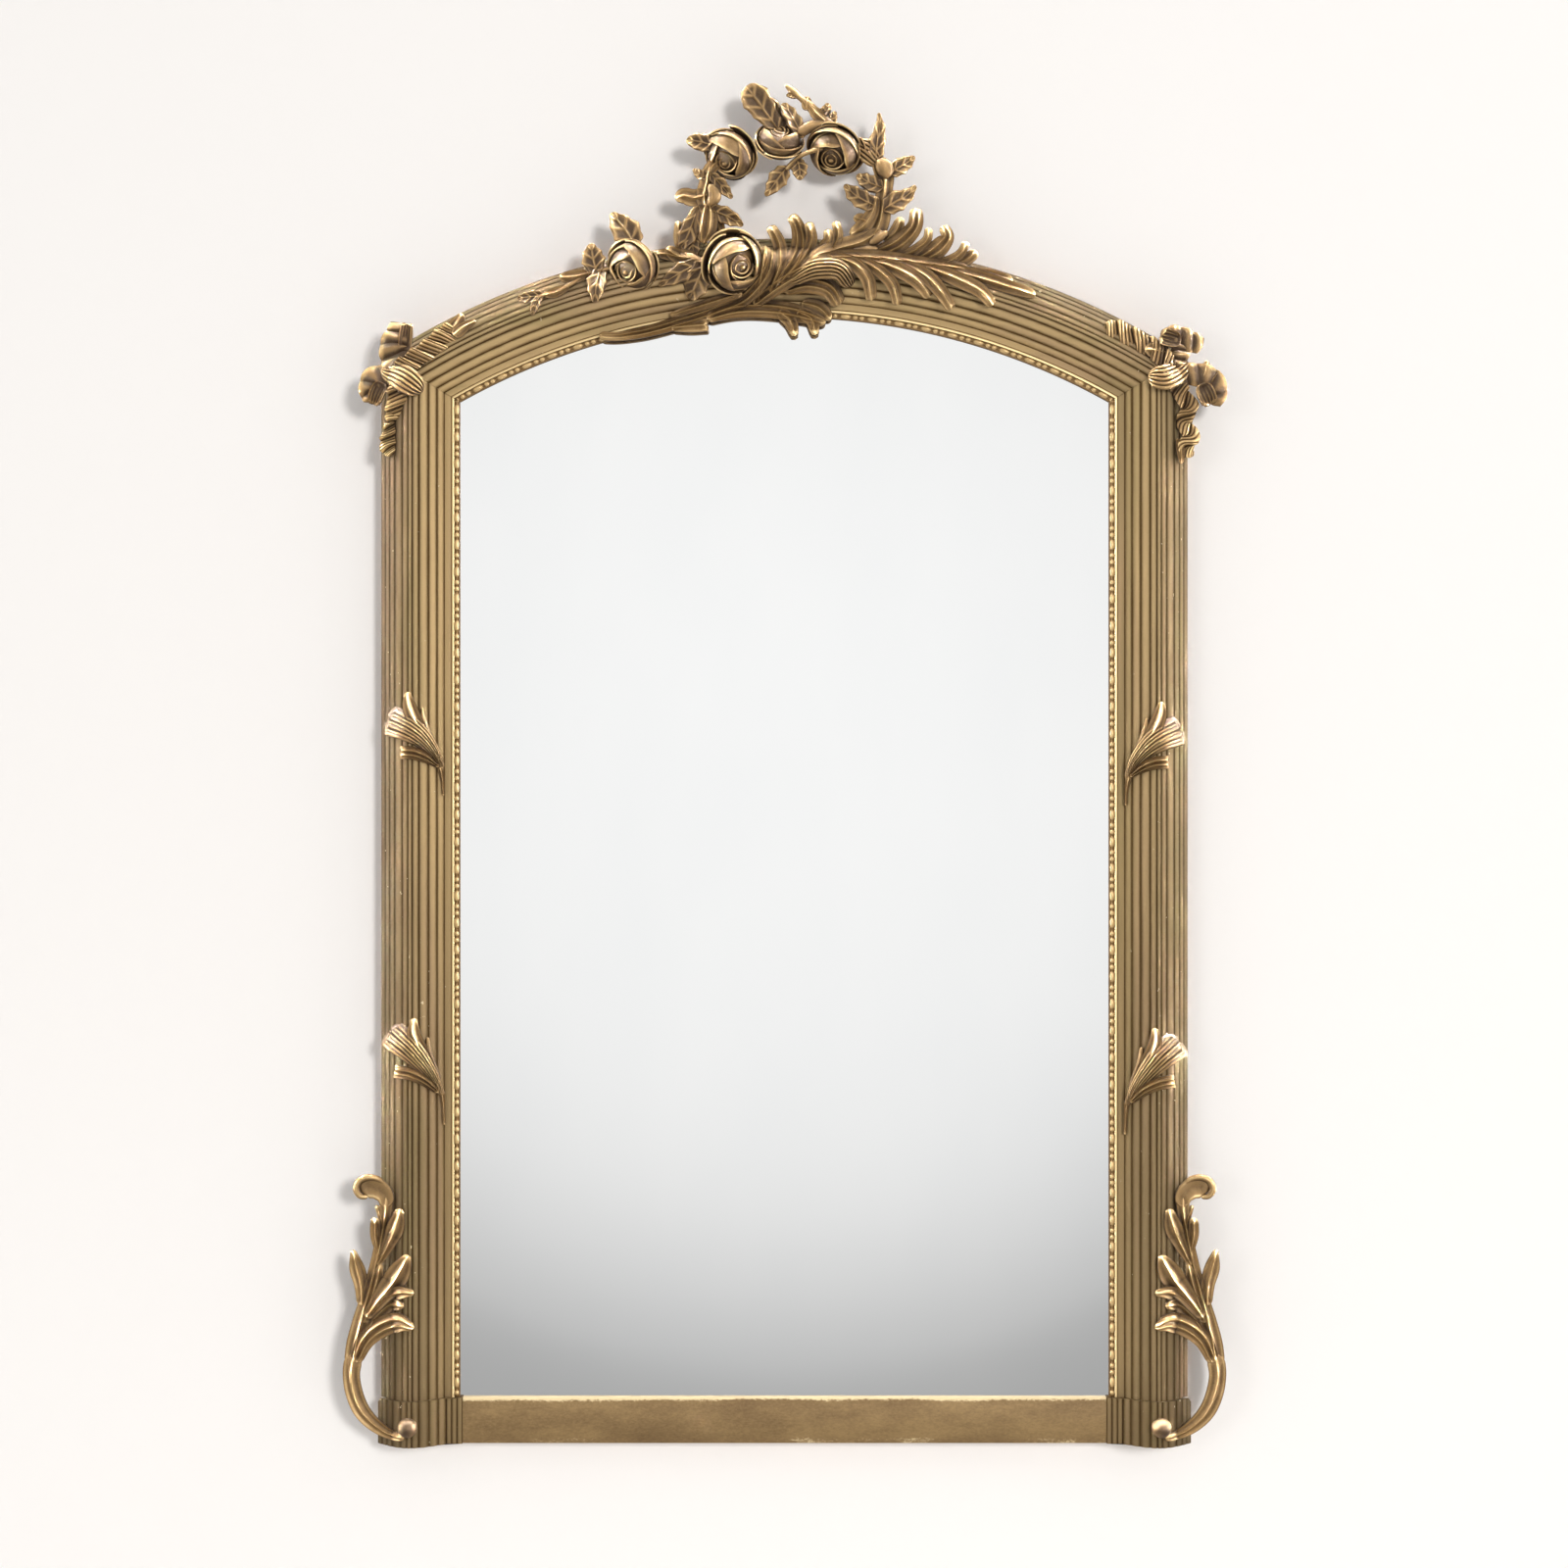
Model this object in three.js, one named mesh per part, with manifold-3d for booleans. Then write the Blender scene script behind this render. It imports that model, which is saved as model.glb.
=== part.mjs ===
// Trumeau mirror: a tall plate under a low arched head, in a reeded and gilded wooden frame with ribbon
// bows, acanthus leaves, scroll brackets and a free-standing crest of roses.
//
// Millimetres. X runs across the frame, +Y into the wall and +Z up. The origin is the middle of the bottom
// back edge, where the wall meets the foot. "Out" is the distance outward from the sight edge (the inner
// edge of the moulding), and "depth" is the distance forward from the wall.
import * as THREE from "three";
import { mergeVertices } from "three/addons/utils/BufferGeometryUtils.js";
import Module from "manifold-3d";

const wasm = await Module();
wasm.setup();

// ---------------------------------------------------------------------------- driving dimensions

const SIGHT_HALF_WIDTH = 433;
const SIGHT_CORNER_Z = 1388; // where the straight sides meet the head
const HEAD_SIGHT_RADIUS = 884;
const HEAD_STEPS = 16; // flats round the head
const RAIL_HEIGHT = 61; // the rail and the plinths
const CLEARANCE = 0.35; // between neighbouring pieces

// the moulding's section
const STRIP_WIDTH = 11; // the bead strip at the sight edge
const FILLET_WIDTH = 9;
const REED_WIDTHS = [9, 10.5, 12, 8.5, 5.5, 7.5, 11, 8, 6.5, 6.5];
const GROOVE_DEPTH = 2.6; // of the grooves between the reeds
const LIP_DEPTH = 26;
const FILLET_DEPTH = 30;
const CUSHION_DEPTH = 62; // at the cushion's crown
const CUSHION_AT = 62; // the crown's distance out
const EDGE_DEPTH = 24; // at the outer edge
const REBATE_WIDTH = 12; // for the plate
const REBATE_DEPTH = 22;
const BOARD_REBATE_WIDTH = 20; // for the boards
const BOARD_REBATE_DEPTH = 11;

// bead strip, plinths, rail
const BEAD_RADIUS = 4;
const STRIP_FILLET = 2.6; // the flat beside the beads
const STRIP_RISE = 4.6; // the flat's height above the lip
const PLINTH_PROUD = 4; // beyond the stile, on every side
const PLINTH_CHAMFER = 6;
const RAIL_CROWN = 3; // the swell of the rail's face
const TENON = { length: 25, depth: [5, 17], height: [9, 37] };

// plate, boards and what holds them
const PLATE_THICKNESS = 4;
const PLATE_MARGIN = 9; // of the plate behind the sight lip
const BOARD_THICKNESS = 9;
const BOARD_COUNT = 6;
const BOARD_GAP = 0.8;
const BLOCK = { width: 7, height: 60 };
const BLOCK_HEIGHTS = [180, 700, 1220];
const BRACE = { length: 96, width: 20, thickness: 2.5, out: 62 };

// hanging rings
const HANGER = { out: 62, height: 1180 }; // the knuckle's axis
const RECESS = { width: 46, above: 66, below: 44, depth: 13 };
const STRAP = { width: 18, thickness: 2, length: 56 };
const RING = { width: 28, drop: 30, wire: 4 }; // between the wire's centre lines
const RING_DEPTH = 6.5; // the axis, forward from the wall
const KNUCKLE_WALL = 1.2;
const KNUCKLE_LENGTH = 16;
const RING_PLAY = 0.3;
const SCREW = { head: 7.5, headHeight: 1.4, shank: 3.4, length: 12, heights: [16, 44] };

// carving
const RELIEF_THICKNESS = 6.5; // half the thickness of a broad leaf
const CARVING_LIFT = 3; // of a leaf's middle above the moulding
const OVERHANG_DEPTH = 48; // of the carving that stands beyond the frame
const PLEAT = 2.5;
const CARVING_GAP = 0.5; // between a carving and what it lies on

// ---------------------------------------------------------------------------- worked out from those

const sum = (numbers) => numbers.reduce((total, n) => total + n, 0);
const REEDS_AT = STRIP_WIDTH + FILLET_WIDTH;
const MOULDING_WIDTH = REEDS_AT + sum(REED_WIDTHS);
const HEAD_CENTRE_Z = SIGHT_CORNER_Z - Math.sqrt(HEAD_SIGHT_RADIUS ** 2 - SIGHT_HALF_WIDTH ** 2);
const HEAD_RADIUS = HEAD_SIGHT_RADIUS + MOULDING_WIDTH;
const HALF_WIDTH = SIGHT_HALF_WIDTH + MOULDING_WIDTH;
const CORNER_Z = HEAD_CENTRE_Z + Math.sqrt(HEAD_RADIUS ** 2 - HALF_WIDTH ** 2);
const HEAD_REACH = Math.asin(HALF_WIDTH / HEAD_RADIUS) + 0.03; // half angle, before the mitres are cut
const CUSHION_ROOT = FILLET_DEPTH + GROOVE_DEPTH;
const FRONT = new THREE.Vector3(0, -1, 0);

/** Depth of the line over the crests of the reeds: two quarter waves that meet at the crown. */
function cushionDepth(out) {
  if (out < CUSHION_AT) {
    const rise = Math.max(0, (out - REEDS_AT) / (CUSHION_AT - REEDS_AT));
    return CUSHION_ROOT + (CUSHION_DEPTH - CUSHION_ROOT) * Math.sin((rise * Math.PI) / 2);
  }
  const fall = Math.min(1, (out - CUSHION_AT) / (MOULDING_WIDTH - CUSHION_AT));
  return EDGE_DEPTH + (CUSHION_DEPTH - EDGE_DEPTH) * Math.cos((fall * Math.PI) / 2);
}

/** Depth on which a carving lies: the moulding, and beyond its crown a level that overhangs the edge. */
const restDepth = (out) => (out < CUSHION_AT ? cushionDepth(out) : Math.max(cushionDepth(out), OVERHANG_DEPTH));

// ---------------------------------------------------------------------------- solids and meshes

/** A closed geometry as a solid that can be joined and cut. */
function solidOf(geometry) {
  const bare = new THREE.BufferGeometry();
  bare.setAttribute("position", geometry.getAttribute("position"));
  bare.setIndex(geometry.index);
  const merged = mergeVertices(bare, 1e-4);
  return new wasm.Manifold(
    new wasm.Mesh({
      numProp: 3,
      vertProperties: merged.attributes.position.array,
      triVerts: new Uint32Array(merged.index.array),
    }),
  );
}

function geometryOf(solid) {
  const mesh = solid.getMesh();
  const geometry = new THREE.BufferGeometry();
  geometry.setAttribute("position", new THREE.BufferAttribute(new Float32Array(mesh.vertProperties), 3));
  geometry.setIndex(new THREE.BufferAttribute(new Uint32Array(mesh.triVerts), 1));
  return geometry;
}

const join = (solids) => solids.reduce((whole, solid) => whole.add(solid));
const cut = (solid, cutters) => cutters.reduce((rest, cutter) => rest.subtract(cutter), solid);

/** What is left of a cut piece once the slivers beside it have dropped off. */
function mainBody(solid) {
  return solid.decompose().reduce((big, body) => (body.volume() > big.volume() ? body : big));
}

function box(low, high) {
  const size = high.map((v, i) => v - low[i]);
  const centre = high.map((v, i) => (v + low[i]) / 2);
  return solidOf(new THREE.BoxGeometry(...size).translate(...centre));
}

/** An outline of [x, y] points, upright from one height to another. */
function upright(outline, from, to) {
  const shape = new THREE.Shape(outline.map(([x, y]) => new THREE.Vector2(x, y)));
  const geometry = new THREE.ExtrudeGeometry(shape, { depth: to - from, bevelEnabled: false });
  return solidOf(geometry.translate(0, 0, from));
}

/** The angles at which the flats of the head meet. */
const headAngles = () => Array.from({ length: HEAD_STEPS + 1 }, (_, i) => HEAD_REACH * ((2 * i) / HEAD_STEPS - 1));

/** A panel under the head's arch that reaches out behind the moulding, between two depths. */
function archedPanel(out, bottom, near, far) {
  const half = SIGHT_HALF_WIDTH + out;
  const arch = headAngles().map((angle) => headPoint(angle, HEAD_SIGHT_RADIUS + out, 0));
  const shape = new THREE.Shape();
  shape.moveTo(arch[0].x, bottom);
  shape.lineTo(arch[HEAD_STEPS].x, bottom);
  arch.reverse().forEach(({ x, z }) => shape.lineTo(x, z));
  const geometry = new THREE.ExtrudeGeometry(shape, { depth: far - near, bevelEnabled: false });
  const solid = solidOf(geometry.rotateX(Math.PI / 2).translate(0, -near, 0));
  return solid.trimByPlane([1, 0, 0], -half).trimByPlane([-1, 0, 0], -half);
}

/** Rings of as many points, joined in turn, closed by a fan at each end. */
function skin(rings, capTriangles) {
  const count = rings[0].length;
  const positions = rings.flat().flatMap((p) => [p.x, p.y, p.z]);
  const index = [];
  for (let ring = 0; ring + 1 < rings.length; ring++) {
    for (let i = 0; i < count; i++) {
      const a = ring * count + i;
      const b = ring * count + ((i + 1) % count);
      index.push(a, b, a + count, b, b + count, a + count);
    }
  }
  const last = (rings.length - 1) * count;
  for (const [a, b, c] of capTriangles) {
    index.push(a, c, b);
    index.push(last + a, last + b, last + c);
  }
  const geometry = new THREE.BufferGeometry();
  geometry.setAttribute("position", new THREE.Float32BufferAttribute(positions, 3));
  return geometry.setIndex(index);
}

/** A [out, depth] section swept round the head, about the arch's centre. */
function headSweep(section) {
  const outline = section.map(([out, depth]) => new THREE.Vector2(out, depth));
  const ordered = THREE.ShapeUtils.isClockWise(outline) ? outline.reverse() : outline;
  const rings = headAngles().map((angle) =>
    ordered.map(({ x: out, y: depth }) => headPoint(angle, HEAD_SIGHT_RADIUS + out, depth)),
  );
  return solidOf(skin(rings, THREE.ShapeUtils.triangulateShape(ordered, [])));
}

function headPoint(angle, radius, depth) {
  return new THREE.Vector3(radius * Math.sin(angle), -depth, HEAD_CENTRE_Z + radius * Math.cos(angle));
}

/** A [out, depth] section as the outline of an upright on one side: -1 left, 1 right. */
const sideOutline = (section, side) => section.map(([out, depth]) => [side * (SIGHT_HALF_WIDTH + out), -depth]);

/** Keeps what lies below the mitre on one side, or above it, half a clearance back from the cut. */
function mitre(solid, side, keep, gap = CLEARANCE) {
  const across = HALF_WIDTH - SIGHT_HALF_WIDTH;
  const up = CORNER_Z - SIGHT_CORNER_Z;
  const length = Math.hypot(across, up);
  const normal = [(-side * up * keep) / length, 0, (across * keep) / length];
  const offset = normal[0] * side * SIGHT_HALF_WIDTH + normal[2] * SIGHT_CORNER_Z;
  return solid.trimByPlane(normal, offset + gap / 2);
}

const BELOW = -1;
const ABOVE = 1;
const mitredUpright = (section, side, from, gap) =>
  mitre(upright(sideOutline(section, side), from, CORNER_Z + MOULDING_WIDTH), side, BELOW, gap);
const mitredHead = (section, gap) => mitre(mitre(headSweep(section), -1, ABOVE, gap), 1, ABOVE, gap);

// ---------------------------------------------------------------------------- the moulding

/** The reeds from the outer edge inward: each is a low half round between two grooves. */
function reedLine() {
  const line = [];
  let end = MOULDING_WIDTH;
  for (const width of [...REED_WIDTHS].reverse()) {
    for (const share of [0, 0.22, 0.78]) {
      const out = end - share * width;
      const bump = Math.sqrt(1 - (2 * share - 1) ** 2);
      line.push([out, cushionDepth(out) - GROOVE_DEPTH * (1 - bump)]);
    }
    end -= width;
  }
  return line;
}

const MOULDING = [
  [MOULDING_WIDTH, 0],
  ...reedLine(),
  [REEDS_AT, FILLET_DEPTH],
  [STRIP_WIDTH, FILLET_DEPTH],
  [STRIP_WIDTH, LIP_DEPTH],
  [0, LIP_DEPTH],
  [0, REBATE_DEPTH],
  [REBATE_WIDTH, REBATE_DEPTH],
  [REBATE_WIDTH, BOARD_REBATE_DEPTH],
  [BOARD_REBATE_WIDTH, BOARD_REBATE_DEPTH],
  [BOARD_REBATE_WIDTH, 0],
];

/** The room that the moulding takes up under a carving, a clearance larger all round. */
function seatSection(grow) {
  const crests = [[MOULDING_WIDTH + grow, cushionDepth(MOULDING_WIDTH) + grow]];
  let end = MOULDING_WIDTH;
  for (const width of [...REED_WIDTHS].reverse()) {
    const out = end - width / 2;
    crests.push([out, cushionDepth(out) + grow]);
    end -= width;
  }
  const beadTop = LIP_DEPTH + BEAD_RADIUS + STRIP_FILLET;
  return [
    [MOULDING_WIDTH + grow, 0],
    ...crests,
    [REEDS_AT - grow, beadTop + grow],
    [-grow, beadTop + grow],
    [-grow, REBATE_DEPTH + grow],
    [-MOULDING_WIDTH, REBATE_DEPTH + grow],
    [-MOULDING_WIDTH, 0],
  ];
}

/** The bead strip: a half round at the sight edge with a flat beside it. */
function stripSection() {
  const back = LIP_DEPTH + CLEARANCE;
  const line = [[2 * BEAD_RADIUS, back + 1]];
  for (const turn of [0.2, 0.4, 0.6, 0.8, 1]) {
    const angle = turn * Math.PI;
    line.push([BEAD_RADIUS * (1 + Math.cos(angle)), back + 1 + BEAD_RADIUS * Math.sin(angle)]);
  }
  const flatAt = STRIP_WIDTH - CLEARANCE;
  return [
    [0, back],
    [flatAt, back],
    [flatAt, LIP_DEPTH + STRIP_RISE],
    [Math.max(2 * BEAD_RADIUS, flatAt - STRIP_FILLET), LIP_DEPTH + STRIP_RISE],
    ...line,
  ];
}

/** The moulding's section moved out on every side, as a solid block, for the plinths. */
function plinthSection(proud) {
  const spread = (out) => out + proud * ((2 * out) / MOULDING_WIDTH - 1);
  const face = reedLine().map(([out, depth]) => [spread(out), depth + proud]);
  return [
    [MOULDING_WIDTH + proud, 0],
    ...face,
    [spread(REEDS_AT), FILLET_DEPTH + proud],
    [-proud, FILLET_DEPTH + proud],
    [-proud, 0],
  ];
}

// ---------------------------------------------------------------------------- frame

function braceSolid(side, grow) {
  const centre = new THREE.Vector3(
    side * (SIGHT_HALF_WIDTH + BRACE.out),
    -BRACE.thickness / 2,
    SIGHT_CORNER_Z + ((CORNER_Z - SIGHT_CORNER_Z) * BRACE.out) / MOULDING_WIDTH,
  );
  const lean = Math.atan2(CORNER_Z - SIGHT_CORNER_Z, MOULDING_WIDTH);
  const size = [BRACE.width + 2 * grow, BRACE.thickness + 2 * grow, BRACE.length + 2 * grow];
  const geometry = new THREE.BoxGeometry(...size).rotateY(-side * lean);
  return solidOf(geometry.translate(centre.x, centre.y, centre.z));
}

const hangerX = (side) => side * (SIGHT_HALF_WIDTH + HANGER.out);

function recessSolid(side) {
  const x = hangerX(side);
  return box(
    [x - RECESS.width / 2, -RECESS.depth, HANGER.height - RECESS.below],
    [x + RECESS.width / 2, 1, HANGER.height + RECESS.above],
  );
}

function stileSolid(side) {
  const blank = mitredUpright(MOULDING, side, RAIL_HEIGHT + CLEARANCE);
  const screws = SCREW.heights.map((height) => screwHole(side, height));
  return cut(blank, [recessSolid(side), braceSolid(side, CLEARANCE), ...screws]);
}

function headSolid() {
  return cut(mitredHead(MOULDING), [braceSolid(-1, CLEARANCE), braceSolid(1, CLEARANCE)]);
}

function stripSolid(side) {
  return mitredUpright(stripSection(), side, RAIL_HEIGHT + CLEARANCE);
}

function tenonSolid(side, grow) {
  const root = SIGHT_HALF_WIDTH - PLINTH_PROUD;
  const ends = [side * (root - 10), side * (root + TENON.length + grow)].sort((a, b) => a - b);
  return box(
    [ends[0], -TENON.depth[1] - grow, TENON.height[0] - grow],
    [ends[1], -TENON.depth[0] + grow, TENON.height[1] + grow],
  );
}

/** The rail's [depth, height] section, rebated like the stiles, with a gently swelling face. */
function railSection() {
  const face = [];
  for (let step = 0; step <= 6; step++) {
    const share = step / 6;
    face.push([FILLET_DEPTH + RAIL_CROWN * Math.sin(Math.PI * share), RAIL_HEIGHT * share]);
  }
  return [
    [0, 0],
    ...face,
    [REBATE_DEPTH, RAIL_HEIGHT],
    [REBATE_DEPTH, RAIL_HEIGHT - REBATE_WIDTH],
    [BOARD_REBATE_DEPTH, RAIL_HEIGHT - REBATE_WIDTH],
    [BOARD_REBATE_DEPTH, RAIL_HEIGHT - BOARD_REBATE_WIDTH],
    [0, RAIL_HEIGHT - BOARD_REBATE_WIDTH],
  ];
}

function railSolid() {
  const half = SIGHT_HALF_WIDTH - PLINTH_PROUD - CLEARANCE;
  const shape = new THREE.Shape(railSection().map(([depth, height]) => new THREE.Vector2(-depth, height)));
  const geometry = new THREE.ExtrudeGeometry(shape, { depth: 2 * half, bevelEnabled: false });
  const turned = new THREE.Matrix4().makeBasis(
    new THREE.Vector3(0, 1, 0),
    new THREE.Vector3(0, 0, 1),
    new THREE.Vector3(1, 0, 0),
  );
  const bar = solidOf(geometry.translate(0, 0, -half).applyMatrix4(turned));
  return join([bar, tenonSolid(-1, 0), tenonSolid(1, 0)]);
}

function plinthSolid(side) {
  const block = upright(sideOutline(plinthSection(PLINTH_PROUD), side), 0, RAIL_HEIGHT);
  const corner = (HALF_WIDTH + PLINTH_PROUD + RAIL_HEIGHT - PLINTH_CHAMFER) / Math.SQRT2;
  const chamfered = block.trimByPlane([-side / Math.SQRT2, 0, -1 / Math.SQRT2], -corner);
  const plateRoom = archedPanel(REBATE_WIDTH, RAIL_HEIGHT - REBATE_WIDTH, -1, REBATE_DEPTH);
  const boardRoom = archedPanel(BOARD_REBATE_WIDTH, RAIL_HEIGHT - BOARD_REBATE_WIDTH, -1, BOARD_REBATE_DEPTH);
  return cut(chamfered, [plateRoom, boardRoom, tenonSolid(side, CLEARANCE)]);
}

// ---------------------------------------------------------------------------- plate and back

function plateSolid() {
  const front = REBATE_DEPTH - CLEARANCE;
  return archedPanel(PLATE_MARGIN, RAIL_HEIGHT - PLATE_MARGIN, front - PLATE_THICKNESS, front);
}

/** One of the level boards, cut to the arch where it passes it. */
function boardSolid(number) {
  const out = BOARD_REBATE_WIDTH - CLEARANCE;
  const bottom = RAIL_HEIGHT - out;
  const height = (HEAD_CENTRE_Z + HEAD_SIGHT_RADIUS + out - bottom) / BOARD_COUNT;
  const front = BOARD_REBATE_DEPTH - CLEARANCE;
  const whole = archedPanel(out, bottom, front - BOARD_THICKNESS, front);
  const lowest = bottom + number * height;
  return whole
    .trimByPlane([0, 0, 1], lowest + (number > 0 ? BOARD_GAP / 2 : -1))
    .trimByPlane([0, 0, -1], -(lowest + height - BOARD_GAP / 2));
}

/** A block glued in the rebate behind the plate's edge. */
function blockSolid(side, height) {
  const outer = SIGHT_HALF_WIDTH + REBATE_WIDTH - CLEARANCE;
  const across = [side * outer, side * (outer - BLOCK.width)].sort((a, b) => a - b);
  const back = BOARD_REBATE_DEPTH + CLEARANCE;
  const front = REBATE_DEPTH - 2 * CLEARANCE - PLATE_THICKNESS;
  return box([across[0], -front, height], [across[1], -back, height + BLOCK.height]);
}

// ---------------------------------------------------------------------------- hanging rings

/** A round bar of a radius between two points. */
function bar(from, to, radius, sides = 10) {
  const along = new THREE.Vector3().subVectors(to, from);
  const geometry = new THREE.CylinderGeometry(radius, radius, along.length(), sides);
  const turn = new THREE.Quaternion().setFromUnitVectors(new THREE.Vector3(0, 1, 0), along.clone().normalize());
  const middle = new THREE.Vector3().addVectors(from, to).multiplyScalar(0.5);
  return solidOf(geometry.applyQuaternion(turn).translate(middle.x, middle.y, middle.z));
}

/** A D-shaped ring of round wire, hanging straight down from its level bar. */
function ringSolid(side) {
  const x = hangerX(side);
  const half = RING.width / 2;
  const drop = RING.drop - half;
  const points = [];
  for (let step = 0; step <= 8; step++) {
    const angle = (Math.PI * step) / 8;
    points.push([x + half * Math.cos(angle), -RING_DEPTH, HANGER.height - drop - half * Math.sin(angle)]);
  }
  points.push([x - half, -RING_DEPTH, HANGER.height], [x + half, -RING_DEPTH, HANGER.height]);
  const corners = points.map((p) => new THREE.Vector3(...p));
  const wire = RING.wire / 2;
  const sections = corners.map((corner, i) => {
    const next = corners[(i + 1) % corners.length];
    const before = corners[(i + corners.length - 1) % corners.length];
    const along = next.clone().sub(corner).normalize().add(corner.clone().sub(before).normalize()).normalize();
    const aside = new THREE.Vector3().crossVectors(FRONT, along);
    const spread = 1 / Math.cos(next.clone().sub(corner).angleTo(along));
    return circlePoints(corner, aside.multiplyScalar(spread), FRONT, wire, 8);
  });
  return solidOf(skin([...sections, sections[0]], []));
}

function circlePoints(centre, aside, ahead, radius, count) {
  const points = [];
  for (let i = 0; i < count; i++) {
    const angle = (2 * Math.PI * i) / count;
    const offset = aside.clone().multiplyScalar(radius * Math.cos(angle));
    points.push(offset.addScaledVector(ahead, radius * Math.sin(angle)).add(centre));
  }
  return points;
}

/** The strap, screwed to the floor of the recess, with its end rolled round the ring's bar. */
function strapSolid(side) {
  const x = hangerX(side);
  const floor = -RECESS.depth + CLEARANCE;
  const outer = RING.wire / 2 + RING_PLAY + KNUCKLE_WALL;
  const axis = (from) => new THREE.Vector3(x + from, -RING_DEPTH, HANGER.height);
  const half = KNUCKLE_LENGTH / 2;
  const strap = box(
    [x - STRAP.width / 2, floor, HANGER.height + outer * 0.6],
    [x + STRAP.width / 2, floor + STRAP.thickness, HANGER.height + STRAP.length],
  );
  const neck = box(
    [x - half, floor, HANGER.height - outer * 0.3],
    [x + half, -RING_DEPTH, HANGER.height + outer],
  );
  const rolled = bar(axis(-half), axis(half), outer, 12);
  const bore = bar(axis(-half - 1), axis(half + 1), RING.wire / 2 + RING_PLAY, 12);
  const holes = SCREW.heights.map((height) => screwShank(side, height, CLEARANCE));
  return cut(join([strap, neck, rolled]), [bore, ...holes]);
}

function screwShank(side, height, grow) {
  const x = hangerX(side);
  const z = HANGER.height + height;
  const head = -RECESS.depth + CLEARANCE + STRAP.thickness;
  const from = new THREE.Vector3(x, head + CLEARANCE + 0.5, z);
  const to = new THREE.Vector3(x, head - SCREW.length - grow, z);
  return bar(from, to, SCREW.shank / 2 + grow, 8);
}

const screwHole = (side, height) => screwShank(side, height, CLEARANCE);

function screwSolid(side, height) {
  const x = hangerX(side);
  const z = HANGER.height + height;
  const seat = -RECESS.depth + 2 * CLEARANCE + STRAP.thickness;
  const from = new THREE.Vector3(x, seat, z);
  const to = new THREE.Vector3(x, seat + SCREW.headHeight, z);
  return join([bar(from, to, SCREW.head / 2, 12), screwShank(side, height, 0)]);
}

// ---------------------------------------------------------------------------- carving

// Sections across a carved piece: [share of the half width, share of the half thickness]
const RIDGED = [
  [-1, 0],
  [0, -1],
  [1, 0],
  [0, 1],
];
const GROOVED = [
  [-1, 0],
  [0, -0.9],
  [1, 0],
  [0.5, 1],
  [0, 0.45],
  [-0.5, 1],
];
const CUPPED = [
  [-0.6, -0.8],
  [0.6, -0.8],
  [1, 1],
  [0, 0],
  [-1, 1],
];

/** An outline moved outward by a margin, parallel to its sides. */
function grown(outline, margin) {
  const normal = (a, b) => new THREE.Vector2(b.y - a.y, a.x - b.x).normalize();
  return outline.map((point, i) => {
    const before = normal(outline[(i + outline.length - 1) % outline.length], point);
    const after = normal(point, outline[(i + 1) % outline.length]);
    const reach = margin / Math.max(0.3, 1 + before.dot(after));
    return point.clone().addScaledVector(before.add(after), reach);
  });
}

/**
 * A carved piece along a smooth line through its stations, pointed or rounded at both ends. A station is
 * { at, width, thick }, the last two as half sizes. With pleats, the line waves to and fro.
 */
function stroke(stations, section, { rings = 3, grow = 0, facing = FRONT, pleats = 0 } = {}) {
  const line = new THREE.CatmullRomCurve3(stations.map((s) => s.at));
  const sizes = new THREE.CatmullRomCurve3(stations.map((s) => new THREE.Vector3(s.width, s.thick, 0)));
  const count = pleats ? 2 * pleats : rings;
  const loops = [];
  const ends = [0, 1].map((t) => {
    const outward = line.getTangent(t).multiplyScalar(t ? grow : -grow);
    return line.getPoint(t).add(outward);
  });
  for (let ring = 1; ring <= count; ring++) {
    const share = ring / (count + 1);
    const t = pleats ? share : (1 - Math.cos(Math.PI * share)) / 2;
    const along = line.getTangent(t);
    const aside = new THREE.Vector3().crossVectors(facing, along).normalize();
    const ahead = new THREE.Vector3().crossVectors(along, aside).normalize();
    const { x: width, y: thick } = sizes.getPoint(t);
    const wave = pleats ? PLEAT * (ring % 2 ? 1 : -1) : 0;
    const centre = line.getPoint(t).addScaledVector(ahead, wave);
    const outline = grown(section.map(([u, v]) => new THREE.Vector2(u * Math.max(width, 0.8), v * thick)), grow);
    loops.push(outline.map(({ x, y }) => centre.clone().addScaledVector(aside, x).addScaledVector(ahead, y)));
  }
  const closed = [section.map(() => ends[0]), ...loops, section.map(() => ends[1])];
  return solidOf(dropEmpty(skin(closed, [])));
}

/** Leaves out the triangles that a ring shrunk to a point makes. */
function dropEmpty(geometry) {
  const merged = mergeVertices(geometry, 1e-5);
  const kept = [];
  const index = merged.index.array;
  for (let i = 0; i < index.length; i += 3) {
    const [a, b, c] = [index[i], index[i + 1], index[i + 2]];
    if (a !== b && b !== c && a !== c) kept.push(a, b, c);
  }
  return merged.setIndex(kept);
}

const reliefOf = (halfWidth) => Math.min(RELIEF_THICKNESS, 1.5 + 0.7 * halfWidth);

/** Stations from rows [first, second, half width, lift], placed by a function of the first two and a lift. */
function stationsOf(rows, place) {
  return rows.map(([a, b, width, lift = CARVING_LIFT]) => ({
    at: place(a, b, lift),
    width,
    thick: reliefOf(width),
  }));
}

/** Places a point along the head's outer edge from the crown, and outward from that edge. */
function onHead(along, outward, lift) {
  const depth = restDepth(MOULDING_WIDTH + outward) + lift;
  return headPoint(along / HEAD_RADIUS, HEAD_RADIUS + outward, depth);
}

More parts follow.
